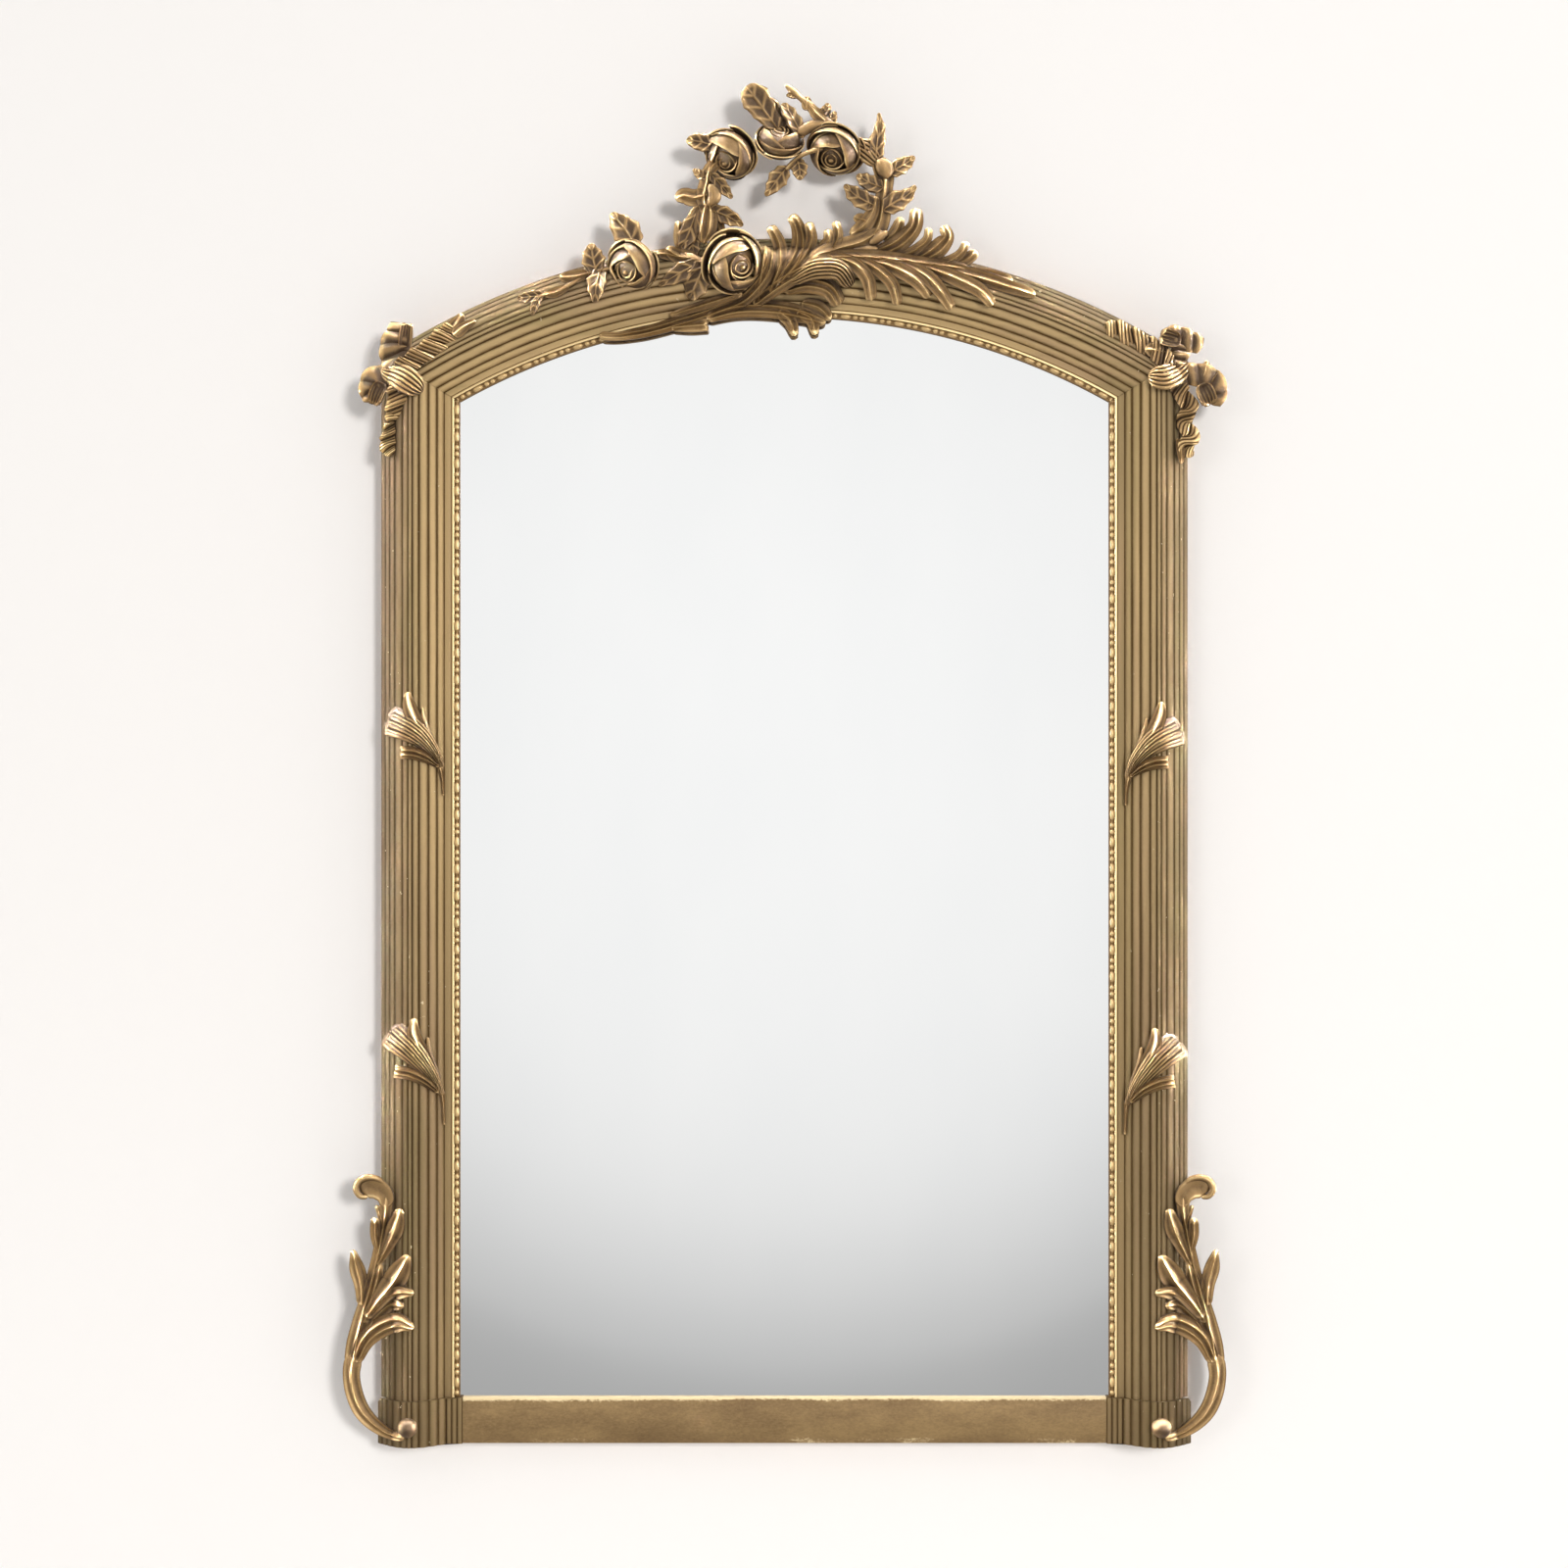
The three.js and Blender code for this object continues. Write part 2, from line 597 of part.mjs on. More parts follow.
/** Places a point of the front view on the moulding, whichever of the stiles and the head it lies on. */
function onFace(x, z, lift) {
  const pastSide = Math.abs(x) - SIGHT_HALF_WIDTH;
  const pastHead = Math.hypot(x, z - HEAD_CENTRE_Z) - HEAD_SIGHT_RADIUS;
  return new THREE.Vector3(x, -(restDepth(Math.max(pastSide, pastHead)) + lift), z);
}

/** Places a point on one side by its distance out from the sight edge and its height. */
const onStile = (side) => (out, height, lift) => onFace(side * (SIGHT_HALF_WIDTH + out), height, lift);

/** Places a point beside the upper corner: outward and upward from it. */
const onCorner = (side) => (outward, up, lift) => onFace(side * (HALF_WIDTH + outward), CORNER_Z + up, lift);

/** A piece made of strokes, each { rows, section, ... }, as one solid, larger by a margin. */
function carving(strokes, place, grow = 0) {
  return join(
    strokes.map(({ rows, section = GROOVED, ...rest }) =>
      stroke(stationsOf(rows, place), section, { grow, ...rest }),
    ),
  );
}

function ball(centre, radius, detail) {
  const geometry = new THREE.SphereGeometry(radius, ...detail);
  return solidOf(dropEmpty(stripped(geometry.translate(centre.x, centre.y, centre.z))));
}

function stripped(geometry) {
  const bare = new THREE.BufferGeometry();
  bare.setAttribute("position", geometry.getAttribute("position"));
  return bare.setIndex(geometry.index);
}

// A rose is lofted from its back, over the rims of three whorls of petals, to its heart: the outer whorl closes
// over the others like a cup. Radius and rise are shares of the rose's radius, notch is the dip between two
// petals, and lap lifts each petal over the next.
const ROSE_POINTS = 15;
const ROSE_RINGS = [
  { radius: 0.62, rise: -0.38, petals: 5, notch: 0, lap: 0 },
  { radius: 1.02, rise: 0.04, petals: 5, notch: 0.08, lap: 0 },
  { radius: 1, rise: 0.34, petals: 5, notch: 0.16, lap: 0.16 },
  { radius: 0.82, rise: 0.52, petals: 5, notch: 0.18, lap: 0.16 },
  { radius: 0.68, rise: 0.3, petals: 5, notch: 0.08, lap: 0, valley: true },
  { radius: 0.62, rise: 0.64, petals: 5, notch: 0.18, lap: 0.14, turn: 0.5 },
  { radius: 0.42, rise: 0.4, petals: 5, notch: 0, lap: 0, valley: true },
  { radius: 0.34, rise: 0.74, petals: 3, notch: 0.2, lap: 0.16 },
  { radius: 0.16, rise: 0.56, petals: 3, notch: 0, lap: 0, valley: true },
];
const ROSE_BACK = -0.5;
const ROSE_HEART = 0.74;

/**
 * An open rose round an axis that leans from the front view by [across, up]. Grown by a margin, it has no
 * valleys between its whorls: that is the room that a neighbour leaves for it.
 */
function rose(centre, radius, lean, grow = 0) {
  const axis = new THREE.Vector3(lean[0], -1, lean[1]).normalize();
  const aside = new THREE.Vector3(0, 0, 1).cross(axis).normalize();
  const up = new THREE.Vector3().crossVectors(axis, aside);
  const onAxis = (rise) => centre.clone().addScaledVector(axis, rise * radius + Math.sign(rise) * grow);
  const points = Array.from({ length: ROSE_POINTS }, (_, i) => i / ROSE_POINTS);
  const loops = ROSE_RINGS.filter((ring) => !(grow && ring.valley)).map((ring) =>
    points.map((turn) => {
      const across = (ring.petals * turn + (ring.turn ?? 0)) % 1; // within the petal
      const bulge = Math.sin(Math.PI * (across + ring.petals / (2 * ROSE_POINTS)));
      const reach = ring.radius * radius * (1 - ring.notch * (1 - bulge)) + grow;
      return onAxis(ring.rise + ring.lap * (across - 1 / 3))
        .addScaledVector(aside, reach * Math.cos(2 * Math.PI * turn))
        .addScaledVector(up, reach * Math.sin(2 * Math.PI * turn));
    }),
  );
  const pole = (rise) => points.map(() => onAxis(rise));
  return solidOf(dropEmpty(skin([pole(ROSE_BACK), ...loops, pole(ROSE_HEART)], [])));
}

/** The room under and behind the carvings: the moulding, strips, plate and plinths, with a clearance. */
const SEATS = [
  mitredUpright(seatSection(CARVING_GAP), -1, RAIL_HEIGHT - 1, -2 * CARVING_GAP),
  mitredUpright(seatSection(CARVING_GAP), 1, RAIL_HEIGHT - 1, -2 * CARVING_GAP),
  mitredHead(seatSection(CARVING_GAP), -2 * CARVING_GAP),
  ...[-1, 1].map((side) =>
    upright(sideOutline(plinthSection(PLINTH_PROUD + CARVING_GAP), side), -1, RAIL_HEIGHT + CARVING_GAP),
  ),
];

const seated = (solid, neighbours = []) => mainBody(cut(solid, [...SEATS, ...neighbours]));

// ---------------------------------------------------------------------------- leaves, bows and brackets

// rows of [out, up from the leaf's foot, half width]
const UPPER_LEAF = [
  { rows: [[21, 0, 1.5], [22, 21, 2.5], [25, 39, 4.5]], section: RIDGED },
  { rows: [[22, 36, 4], [33, 59, 9], [47, 75, 14], [65, 87, 18], [83, 93, 20.5]], rings: 4 },
  { rows: [[27, 39, 2.5], [42, 50, 6.5], [57, 56, 8.5], [74, 57, 9]] },
  { rows: [[35, 70, 5], [56, 103, 9], [64, 122, 8.5], [65, 135, 4.5]], section: RIDGED },
];
const LOWER_LEAF = [
  { rows: [[20, 0, 2], [21, 26, 2.5], [23, 47, 4.5]], section: RIDGED },
  { rows: [[22, 40, 4], [34, 65, 9], [49, 86, 14], [68, 106, 18], [84, 118, 22]], rings: 4 },
  { rows: [[27, 45, 4], [44, 61, 7], [62, 70, 8.5], [82, 73, 9]] },
  { rows: [[31, 69, 5], [51, 109, 9], [57, 127, 9], [55, 143, 4]], section: RIDGED },
];
// height of each leaf's foot
const LEAF_FEET = { upperLeft: 863, upperRight: 850, lowerLeft: 425, lowerRight: 412 };
const LEAVES = [
  { name: "leaf_upper_left", side: -1, strokes: UPPER_LEAF, foot: LEAF_FEET.upperLeft },
  { name: "leaf_upper_right", side: 1, strokes: UPPER_LEAF, foot: LEAF_FEET.upperRight },
  { name: "leaf_lower_left", side: -1, strokes: LOWER_LEAF, foot: LEAF_FEET.lowerLeft },
  { name: "leaf_lower_right", side: 1, strokes: LOWER_LEAF, foot: LEAF_FEET.lowerRight },
];

function leafSolid({ side, strokes, foot }) {
  const place = (out, up, lift) => onStile(side)(out, foot + up, lift);
  return seated(carving(strokes, place));
}

// rows of [outward, up from the frame's upper corner, half width, lift]
const LEFT_BOW = [
  {
    rows: [[-32, -28, 13, 6], [-21, -7, 19.5, 8], [-19, 14, 17, 9], [-25, 28, 14, 8], [-35, 39, 9, 6]],
    section: RIDGED, rings: 4,
  },
  { rows: [[-35, 6, 9, 8], [-37, 21, 10.5, 12], [-41, 38, 6.5, 10]], section: CUPPED },
  {
    rows: [[-30, -33, 14, 5], [-9, -30, 17, 8], [9, -33, 15.5, 8], [13, -49, 11.5, 7], [5, -64, 5, 5]],
    section: RIDGED, rings: 4,
  },
  { rows: [[-4, -21, 10.5, 9], [-26, -28, 17, 13], [-45, -40, 17, 12], [-58, -50, 11.5, 6]], rings: 4 },
  {
    rows: [[-30, -30, 11.5, 10], [-26, -55, 13, 9], [-21, -73, 10.5, 7], [-13, -89, 6.5, 6]],
    pleats: 3, section: RIDGED,
  },
  {
    rows: [[-15, -85, 6.5], [-14, -103, 8.5], [-12, -119, 11], [-15, -135, 6.5]],
    pleats: 3, section: RIDGED,
  },
  {
    rows: [[-19, -29, 11.5, 9], [-50, -7, 13, 7], [-70, 8, 13, 5], [-88, 24, 14], [-104, 37, 11.5]],
    pleats: 4, section: RIDGED,
  },
  { rows: [[-94, 29, 11.5], [-105, 43, 9], [-111, 55, 4]], section: RIDGED },
  { rows: [[-100, 24, 10.5], [-115, 37, 7], [-129, 45, 2.5]], section: RIDGED },
];
const RIGHT_BOW = [
  {
    rows: [[-23, -20, 11.5, 9], [-54, 10, 13, 6], [-80, 24, 13], [-100, 34, 12.5], [-113, 41, 8]],
    pleats: 5, section: RIDGED,
  },
  { rows: [[-27, -28, 13, 7], [-18, -7, 13, 10], [-10, 14, 13, 8]], section: RIDGED },
  {
    rows: [[-40, 25, 10.5, 6], [-21, 23, 15.5, 8], [-1, 17, 15.5, 8], [16, 12, 5, 5]],
    section: RIDGED, rings: 4,
  },
  { rows: [[-40, 23, 10.5, 12], [-25, 19, 9, 14], [-10, 16, 5, 12]], section: CUPPED },
  { rows: [[-57, -30, 11.5, 7], [-36, -32, 17, 12], [-18, -23, 15.5, 12], [-3, -11, 10.5, 8]], rings: 4 },
  {
    rows: [[-22, -28, 13, 9], [8, -27, 15.5, 9], [29, -36, 17, 8], [36, -51, 11.5, 7], [29, -68, 4, 5]],
    section: RIDGED, rings: 4,
  },
  { rows: [[16, -33, 8, 8], [19, -20, 6.5, 9], [22, -8, 2.5, 7]], section: RIDGED },
  { rows: [[26, -38, 6.5, 8], [32, -29, 5, 8], [38, -21, 2.5, 6]], section: RIDGED },
  {
    rows: [[-22, -25, 13, 10], [-13, -51, 11.5, 9], [-1, -71, 11, 6], [-9, -90, 10.5], [1, -107, 11],
      [-6, -122, 10.5], [3, -135, 6.5]],
    pleats: 5, section: RIDGED,
  },
];

const bowSolid = (strokes, side) => seated(carving(strokes, onCorner(side)));

// rows of [outward from the stile's outer edge, height, half width, lift]
const BRACKET = [
  {
    rows: [[-37, 15, 5, 8], [-17, 17, 6.5, 6], [4, 28, 9, 3], [22, 47, 11], [32, 70, 11.5], [36, 96, 11.5],
      [32, 123, 13]],
    rings: 5,
  },
  {
    rows: [[35, 104, 11.5], [30, 135, 13], [23, 167, 11.5], [13, 205, 9], [3, 244, 8], [-5, 283, 8],
      [-10, 314, 8.5], [-10, 334, 10.5]],
    rings: 5,
  },
  { rows: [[-12, 322, 9, 5], [-8, 341, 11, 7], [5, 351, 11, 8], [19, 350, 9, 6]], section: RIDGED, rings: 4 },
  { rows: [[12, 360, 2.5, 5], [26, 354, 4, 5], [27, 340, 4, 5], [10, 333, 3, 5]], section: RIDGED, rings: 4 },
  { rows: [[1, 241, 4, 5], [-14, 270, 8, 5], [-25, 293, 9.5, 6], [-30, 318, 5]], section: RIDGED },
  { rows: [[0, 257, 4], [4, 280, 7], [4, 303, 6.5]], section: RIDGED },
  { rows: [[22, 187, 6.5], [23, 215, 8], [29, 239, 9], [32, 261, 4]], section: RIDGED },
  { rows: [[19, 164, 6.5], [9, 197, 9.5], [1, 223, 9], [-3, 243, 2.5]], section: RIDGED },
  {
    rows: [[17, 171, 6.5, 5], [-4, 199, 11.5, 6], [-23, 222, 14, 6], [-37, 240, 10.5, 5], [-44, 254, 4]],
    section: RIDGED, rings: 4,
  },
  { rows: [[9, 177, 5], [-10, 196, 8.5], [-30, 206, 8.5], [-48, 206, 4]], section: RIDGED },
  { rows: [[19, 148, 6.5], [1, 175, 10.5], [-15, 188, 9], [-35, 188, 5]], section: RIDGED },
  {
    rows: [[31, 112, 8, 5], [14, 145, 12.5, 6], [-8, 161, 13, 6], [-30, 166, 11, 5], [-49, 162, 4]],
    rings: 4,
  },
];
const BOSS = { outward: -40, height: 28, radius: 13 };

function bossSolid(side, grow = 0) {
  const out = MOULDING_WIDTH + BOSS.outward;
  const centre = onStile(side)(out, BOSS.height, PLINTH_PROUD + BOSS.radius * 0.3);
  return ball(centre, BOSS.radius + grow, [9, 7]);
}

function bracketSolid(side) {
  const place = (outward, height, lift) => onStile(side)(MOULDING_WIDTH + outward, height, lift);
  return seated(carving(BRACKET, place), [bossSolid(side, CARVING_GAP)]);
}

// ---------------------------------------------------------------------------- crest

// Every row is [along the head's outer edge from the crown, outward from that edge, half width, lift].
const ROSES = [
  {
    name: "rose_garland_left", at: [-64, 111], radius: 35, lean: [-0.45, -0.8], lift: 0,
    buds: [
      { rows: [[-79, 121, 9], [-103, 130, 11], [-115, 133, 5]], section: RIDGED },
    ],
  },
  { name: "rose_garland_centre", at: [-7, 124], radius: 31, lean: [0.1, 0.9], lift: 0 },
  { name: "rose_garland_right", at: [61, 116], radius: 35, lean: [-0.35, -0.85], lift: 0 },
  { name: "rose_arch_outer", at: [-205, -21], radius: 35, lean: [-0.45, -0.35], lift: 8 },
  { name: "rose_arch_inner", at: [-71, -36], radius: 39, lean: [0.25, -0.2], lift: 8 },
];

const SPRIGS = [
  {
    name: "garland_stem_left",
    strokes: [
      {
        rows: [[-78, 104, 9, -2], [-91, 90, 9], [-96, 73, 10.5], [-101, 54, 11.5], [-98, 36, 10.5]],
        section: RIDGED,
      },
      { rows: [[-97, 45, 10.5, 6], [-101, 25, 15.5, 8], [-105, 8, 14, 7], [-109, -6, 2.5, 5]] },
      { rows: [[-109, 46, 4, 5], [-117, 27, 10.5, 6], [-127, 8, 13, 5], [-140, -10, 4, 4]], section: RIDGED },
      { rows: [[-134, -23, 8, 1], [-139, 4, 8, 0], [-137, 29, 5, 0]], section: RIDGED },
      { rows: [[-117, -26, 10.5, 2], [-141, -20, 11.5, 3], [-159, -5, 6.5, 3]], section: RIDGED, rings: 4 },
      { rows: [[-139, -22, 6.5, 2], [-156, -14, 8, 2], [-172, -10, 5, 2]], section: RIDGED },
      { rows: [[-96, 58, 10.5], [-115, 56, 11.5], [-127, 60, 10.5], [-137, 57, 6.5]], section: RIDGED },
      { rows: [[-91, 86, 5, 5], [-79, 69, 9, 5], [-66, 51, 2.5]], section: RIDGED },
      { rows: [[-98, 38, 8, 5], [-79, 30, 11.5, 6], [-65, 22, 9, 5], [-54, 14, 2]], section: RIDGED },
    ],
  },
  {
    name: "garland_stem_right",
    strokes: [
      { rows: [[82, 125, 11.5], [99, 116, 15.5], [116, 100, 10.5]] },
      {
        rows: [[110, 110, 10.5], [121, 90, 13], [124, 70, 11.5], [124, 49, 11.5], [124, 28, 13],
          [118, 7, 13], [96, -11, 10.5]],
        rings: 5,
      },
      { rows: [[115, 58, 5, 6], [113, 37, 8.5, 6], [104, 18, 10.5, 5], [87, 3, 6.5]], section: RIDGED },
      { rows: [[109, 104, 9, 5], [109, 131, 10.5, 5], [110, 150, 7], [107, 169, 1.5]], section: RIDGED },
      { rows: [[111, 105, 8, 8], [121, 96, 11.5, 10], [126, 83, 8, 7]], section: RIDGED },
      { rows: [[127, 89, 8, 5], [139, 101, 11, 6], [148, 110, 8], [155, 118, 2]], section: RIDGED },
      { rows: [[123, 70, 9, 5], [107, 74, 11, 5], [95, 80, 8], [88, 84, 2.5]], section: RIDGED },
      { rows: [[117, 44, 9, 5], [100, 51, 12.5, 6], [86, 60, 10.5], [74, 70, 2]], section: RIDGED },
      { rows: [[125, 40, 9, 5], [140, 54, 14, 6], [153, 66, 9], [162, 80, 2]], section: RIDGED },
    ],
  },
  {
    name: "garland_top_leaf",
    strokes: [
      {
        rows: [[-7, 139, 9], [-21, 162, 15.5], [-31, 179, 19], [-39, 191, 15.5], [-43, 197, 8]],
        section: RIDGED, rings: 4,
      },
      {
        rows: [[-2, 139, 9, -2], [-9, 163, 10.5, -3], [-15, 178, 6.5, -4], [-18, 184, 2.5, -4]],
        section: RIDGED,
      },
    ],
  },
  {
    name: "garland_twig",
    strokes: [
      {
        rows: [[60, 128, 10.5, -2], [53, 145, 8.5], [40, 158, 7], [29, 171, 6.5], [18, 182, 4], [10, 190, 5],
          [1, 199, 2]],
        section: RIDGED, rings: 6,
      },
      { rows: [[15, 184, 4], [7, 186, 4.5], [2, 185, 1.5]], section: RIDGED },
      { rows: [[26, 166, 6.5], [25, 175, 7], [26, 184, 4]], section: RIDGED },
      { rows: [[35, 162, 5], [46, 165, 6.5], [50, 176, 4.5]], section: RIDGED },
      { rows: [[51, 143, 6], [55, 157, 6.5], [58, 166, 2.5]], section: RIDGED },
      { rows: [[15, 134, 6.5, 4], [31, 144, 8, 5], [49, 149, 8, 5]], section: RIDGED },
      { rows: [[22, 129, 9, 3], [12, 148, 10.5, 5], [3, 164, 9, 5], [-3, 174, 4, 4]], section: RIDGED },
    ],
  },
  {
    name: "garland_hanging_leaf",
    strokes: [
      {
        rows: [[46, 115, 4, 10], [25, 107, 3, 12], [11, 97, 3, 9], [2, 86, 4, 5]],
        section: RIDGED, rings: 4,
      },
      { rows: [[4, 91, 6.5], [-7, 76, 13], [-15, 64, 9.5], [-24, 52, 2]], section: RIDGED },
      { rows: [[14, 102, 5, 6], [18, 89, 11, 5], [19, 73, 5]], section: RIDGED },
    ],
  },
  {
    name: "arch_leaves",
    strokes: [
      { rows: [[-113, -31, 6.5], [-140, -41, 13], [-159, -48, 9.5], [-177, -54, 2]], section: RIDGED },
      { rows: [[-109, -28, 8], [-117, -48, 17], [-127, -63, 15.5], [-136, -75, 6.5]], section: RIDGED },
    ],
  },
  {
    name: "rose_sprig",
    strokes: [
      {
        rows: [[-235, -17, 4], [-267, -16, 4], [-300, -25, 4], [-331, -26, 4], [-348, -28, 2.5]],
        section: RIDGED, rings: 4,
      },
      { rows: [[-267, -16, 5, 5], [-290, -15, 9.5, 6], [-306, -10, 5]], section: RIDGED },
      { rows: [[-298, -26, 4], [-318, -29, 7], [-333, -27, 4]], section: RIDGED },
      { rows: [[-332, -27, 5], [-350, -23, 8.5], [-369, -18, 4]], section: RIDGED },
      { rows: [[-340, -27, 4], [-349, -36, 6.5], [-358, -47, 2.5]], section: RIDGED },
      { rows: [[-256, -20, 6.5], [-256, 1, 15.5, 4], [-254, 22, 4]], section: RIDGED },
      { rows: [[-249, -14, 6.5], [-260, -34, 13, 5], [-269, -56, 4]], section: RIDGED },
    ],
  },
  {
    name: "rose_leaf",
    strokes: [
      {
        rows: [[-200, 2, 11.5], [-204, 21, 19, 5], [-213, 40, 14, 5], [-220, 55, 2.5]],
        section: RIDGED, rings: 4,
      },
    ],
  },
  {
    name: "acanthus_fan",
    strokes: [
      { rows: [[-38, -85, 6.5], [-34, -61, 8], [-29, -36, 8.5], [-26, -17, 6.5]], section: RIDGED },
      { rows: [[-20, -73, 6.5], [-6, -39, 9.5], [-7, -13, 9], [-19, 11, 2.5]], section: RIDGED },
      { rows: [[-8, -63, 8], [15, -34, 12.5], [21, -5, 11.5], [16, 13, 9], [8, 25, 5]], rings: 4 },
      { rows: [[3, -57, 5], [26, -31, 8.5], [36, -5, 8], [31, 16, 4]], section: RIDGED },
      { rows: [[26, -42, 5], [50, -20, 8.5], [59, -5, 8], [57, 8, 5]], section: RIDGED },
      { rows: [[40, -36, 5], [63, -18, 7], [71, 1, 7], [66, 19, 4.5]], section: RIDGED },
      { rows: [[-46, -89, 8, 5], [-22, -74, 11.5, 5], [3, -60, 13, 5], [37, -44, 11.5, 4]] },
      { rows: [[8, -63, 8, 5], [46, -47, 14, 7], [77, -48, 13.5, 6], [94, -64, 8]], rings: 4 },
      { rows: [[-1, -73, 8, 5], [38, -65, 13.5, 6], [66, -72, 12.5, 5], [80, -88, 6.5]], rings: 4 },
    ],
  },
  {
    name: "acanthus_spray",
    strokes: [
      {
        rows: [[40, -39, 10.5], [77, -33, 14, 4], [133, -29, 15.5, 4], [189, -26, 13.5, 4], [253, -18, 8]],
        rings: 4,
      },
      {
        rows: [[128, 13, 8, 4], [100, -6, 13, 5], [68, -18, 12.5, 5], [34, -36, 6.5, 4]],
        section: RIDGED, rings: 4,
      },
      { rows: [[116, -22, 8, 4], [155, 3, 12.5, 6], [169, 26, 10.5, 5], [167, 49, 5]], rings: 4 },
      { rows: [[130, -28, 6.5, 4], [176, -4, 7, 5], [188, 12, 6.5], [187, 27, 3]], section: RIDGED },
      {
        rows: [[128, -31, 6.5, 4], [187, -14, 9.5, 5], [207, 6, 12.5, 5], [213, 20, 9], [204, 33, 4]],
        rings: 4,
      },
      { rows: [[183, -23, 6.5, 4], [219, -13, 8, 4], [235, 3, 6.5], [239, 20, 2]], section: RIDGED },
      { rows: [[210, -19, 6.5, 1], [239, -7, 9, 1], [256, 11, 2.5, 1]], section: RIDGED },
      {
        rows: [[173, -25, 9], [234, -23, 11], [275, -23, 10.5], [312, -23, 9], [347, -22, 4]],
        section: RIDGED, rings: 4,
      },
      { rows: [[58, -27, 8, 5], [101, -40, 9.5, 6], [117, -55, 9.5, 5], [125, -77, 6]], section: RIDGED },
      { rows: [[90, -26, 6.5, 5], [134, -44, 8.5, 6], [153, -58, 8.5, 5], [163, -78, 4]], section: RIDGED },
      {
        rows: [[112, -28, 6.5, 5], [162, -38, 10.5, 6], [187, -48, 10.5, 5], [206, -63, 4]],
        section: RIDGED,
      },
      { rows: [[146, -26, 6.5, 5], [196, -39, 10.5, 6], [220, -54, 9.5, 5], [240, -71, 4]], section: RIDGED },
      { rows: [[186, -25, 6.5, 4], [243, -34, 10.5, 5], [273, -41, 9.5, 5], [295, -54, 4]], section: RIDGED },
    ],
  },
  {
    name: "acanthus_tail",
    strokes: [
      {
        rows: [[-18, -21, 5], [-25, -49, 10.5], [-51, -76, 11.5], [-101, -93, 10.5], [-160, -103, 9],
          [-220, -107, 7, 5], [-258, -103, 6, 6], [-277, -97, 6.5, 6]],
        rings: 6,
      },
      {
        rows: [[-117, -103, 6.5], [-70, -95, 11], [-22, -96, 12.5], [25, -103, 11.5], [62, -113, 6.5]],
        rings: 4,
      },
      { rows: [[-170, -108, 5], [-140, -110, 8.5], [-115, -111, 9]], section: RIDGED },
      { rows: [[-9, -99, 9], [8, -112, 9.5], [16, -131, 6]], section: RIDGED },
      { rows: [[19, -99, 9], [40, -109, 9.5], [47, -129, 6]], section: RIDGED },
      { rows: [[25, -88, 6.5, 3], [51, -94, 10.5, 3], [69, -108, 6.5, 3]], section: RIDGED },
    ],
  },
];

/** The crest's pieces in the order in which they are laid: each later one makes room for the earlier ones. */
function crestSolids() {
  const pieces = [
    ...ROSES.map(({ name, at, radius, lean, lift, buds = [] }) => ({
      name,
      make: (grow) => {
        const flower = rose(onHead(...at, lift), radius, lean, grow);
        return join([flower, ...buds.map((bud) => carving([bud], onHead, grow))]);
      },
    })),
    ...SPRIGS.map(({ name, strokes }) => ({ name, make: (grow) => carving(strokes, onHead, grow) })),
  ];
  const room = [];
  return pieces.map(({ name, make }) => {
    const solid = seated(make(0), room);
    room.push(make(CARVING_GAP));
    return [name, solid];
  });
}

// ---------------------------------------------------------------------------- materials

const gilt = (color, roughness) => new THREE.MeshStandardMaterial({ color, roughness, metalness: 0.6 });
const MATERIALS = {
  moulding: gilt(0xa98b5d, 0.55),
  rail: gilt(0x957542, 0.5),
  bead: gilt(0xe6c78c, 0.35),
  carving: gilt(0xa08050, 0.4),
  mirror: new THREE.MeshStandardMaterial({ color: 0xe8eaea, roughness: 0.03, metalness: 1 }),
  pine: new THREE.MeshStandardMaterial({ color: 0x9a7650, roughness: 0.8, metalness: 0 }),
  iron: new THREE.MeshStandardMaterial({ color: 0x3f3a36, roughness: 0.6, metalness: 0.8 }),
  brass: new THREE.MeshStandardMaterial({ color: 0xb08d4a, roughness: 0.4, metalness: 1 }),
};

// ---------------------------------------------------------------------------- the assembly

const SIDES = { left: -1, right: 1 };
const model = new THREE.Group();

function add(name, solid, material) {
  const mesh = new THREE.Mesh(geometryOf(solid), MATERIALS[material]);
  mesh.name = name;
  model.add(mesh);
}

add("arch_rail", headSolid(), "moulding");
add("bottom_rail", railSolid(), "rail");
add("bead_strip_arch", mitredHead(stripSection()), "bead");
add("mirror_plate", plateSolid(), "mirror");
for (const [word, side] of Object.entries(SIDES)) {
  add(`stile_${word}`, stileSolid(side), "moulding");
  add(`plinth_${word}`, plinthSolid(side), "moulding");
  add(`bead_strip_${word}`, stripSolid(side), "bead");
  add(`corner_brace_${word}`, braceSolid(side, 0), "iron");
  add(`hanger_plate_${word}`, strapSolid(side), "brass");
  add(`hanger_ring_${word}`, ringSolid(side), "brass");
  add(`bracket_${word}`, bracketSolid(side), "carving");
  add(`boss_${word}`, seated(bossSolid(side)), "carving");
  add(`bow_${word}`, bowSolid(side < 0 ? LEFT_BOW : RIGHT_BOW, side), "carving");
}
for (let number = 0; number < BOARD_COUNT; number++) {
  add(`backboard_${number + 1}`, boardSolid(number), "pine");
}
Object.values(SIDES).forEach((side, sideNumber) => {
  BLOCK_HEIGHTS.forEach((height, i) => {
    add(`glazing_block_${sideNumber * BLOCK_HEIGHTS.length + i + 1}`, blockSolid(side, height), "pine");
  });
  SCREW.heights.forEach((height, i) => {
    add(`hanger_screw_${sideNumber * SCREW.heights.length + i + 1}`, screwSolid(side, height), "brass");
  });
});
for (const leaf of LEAVES) add(leaf.name, leafSolid(leaf), "carving");
for (const [name, solid] of crestSolids()) add(name, solid, "carving");

export default model;
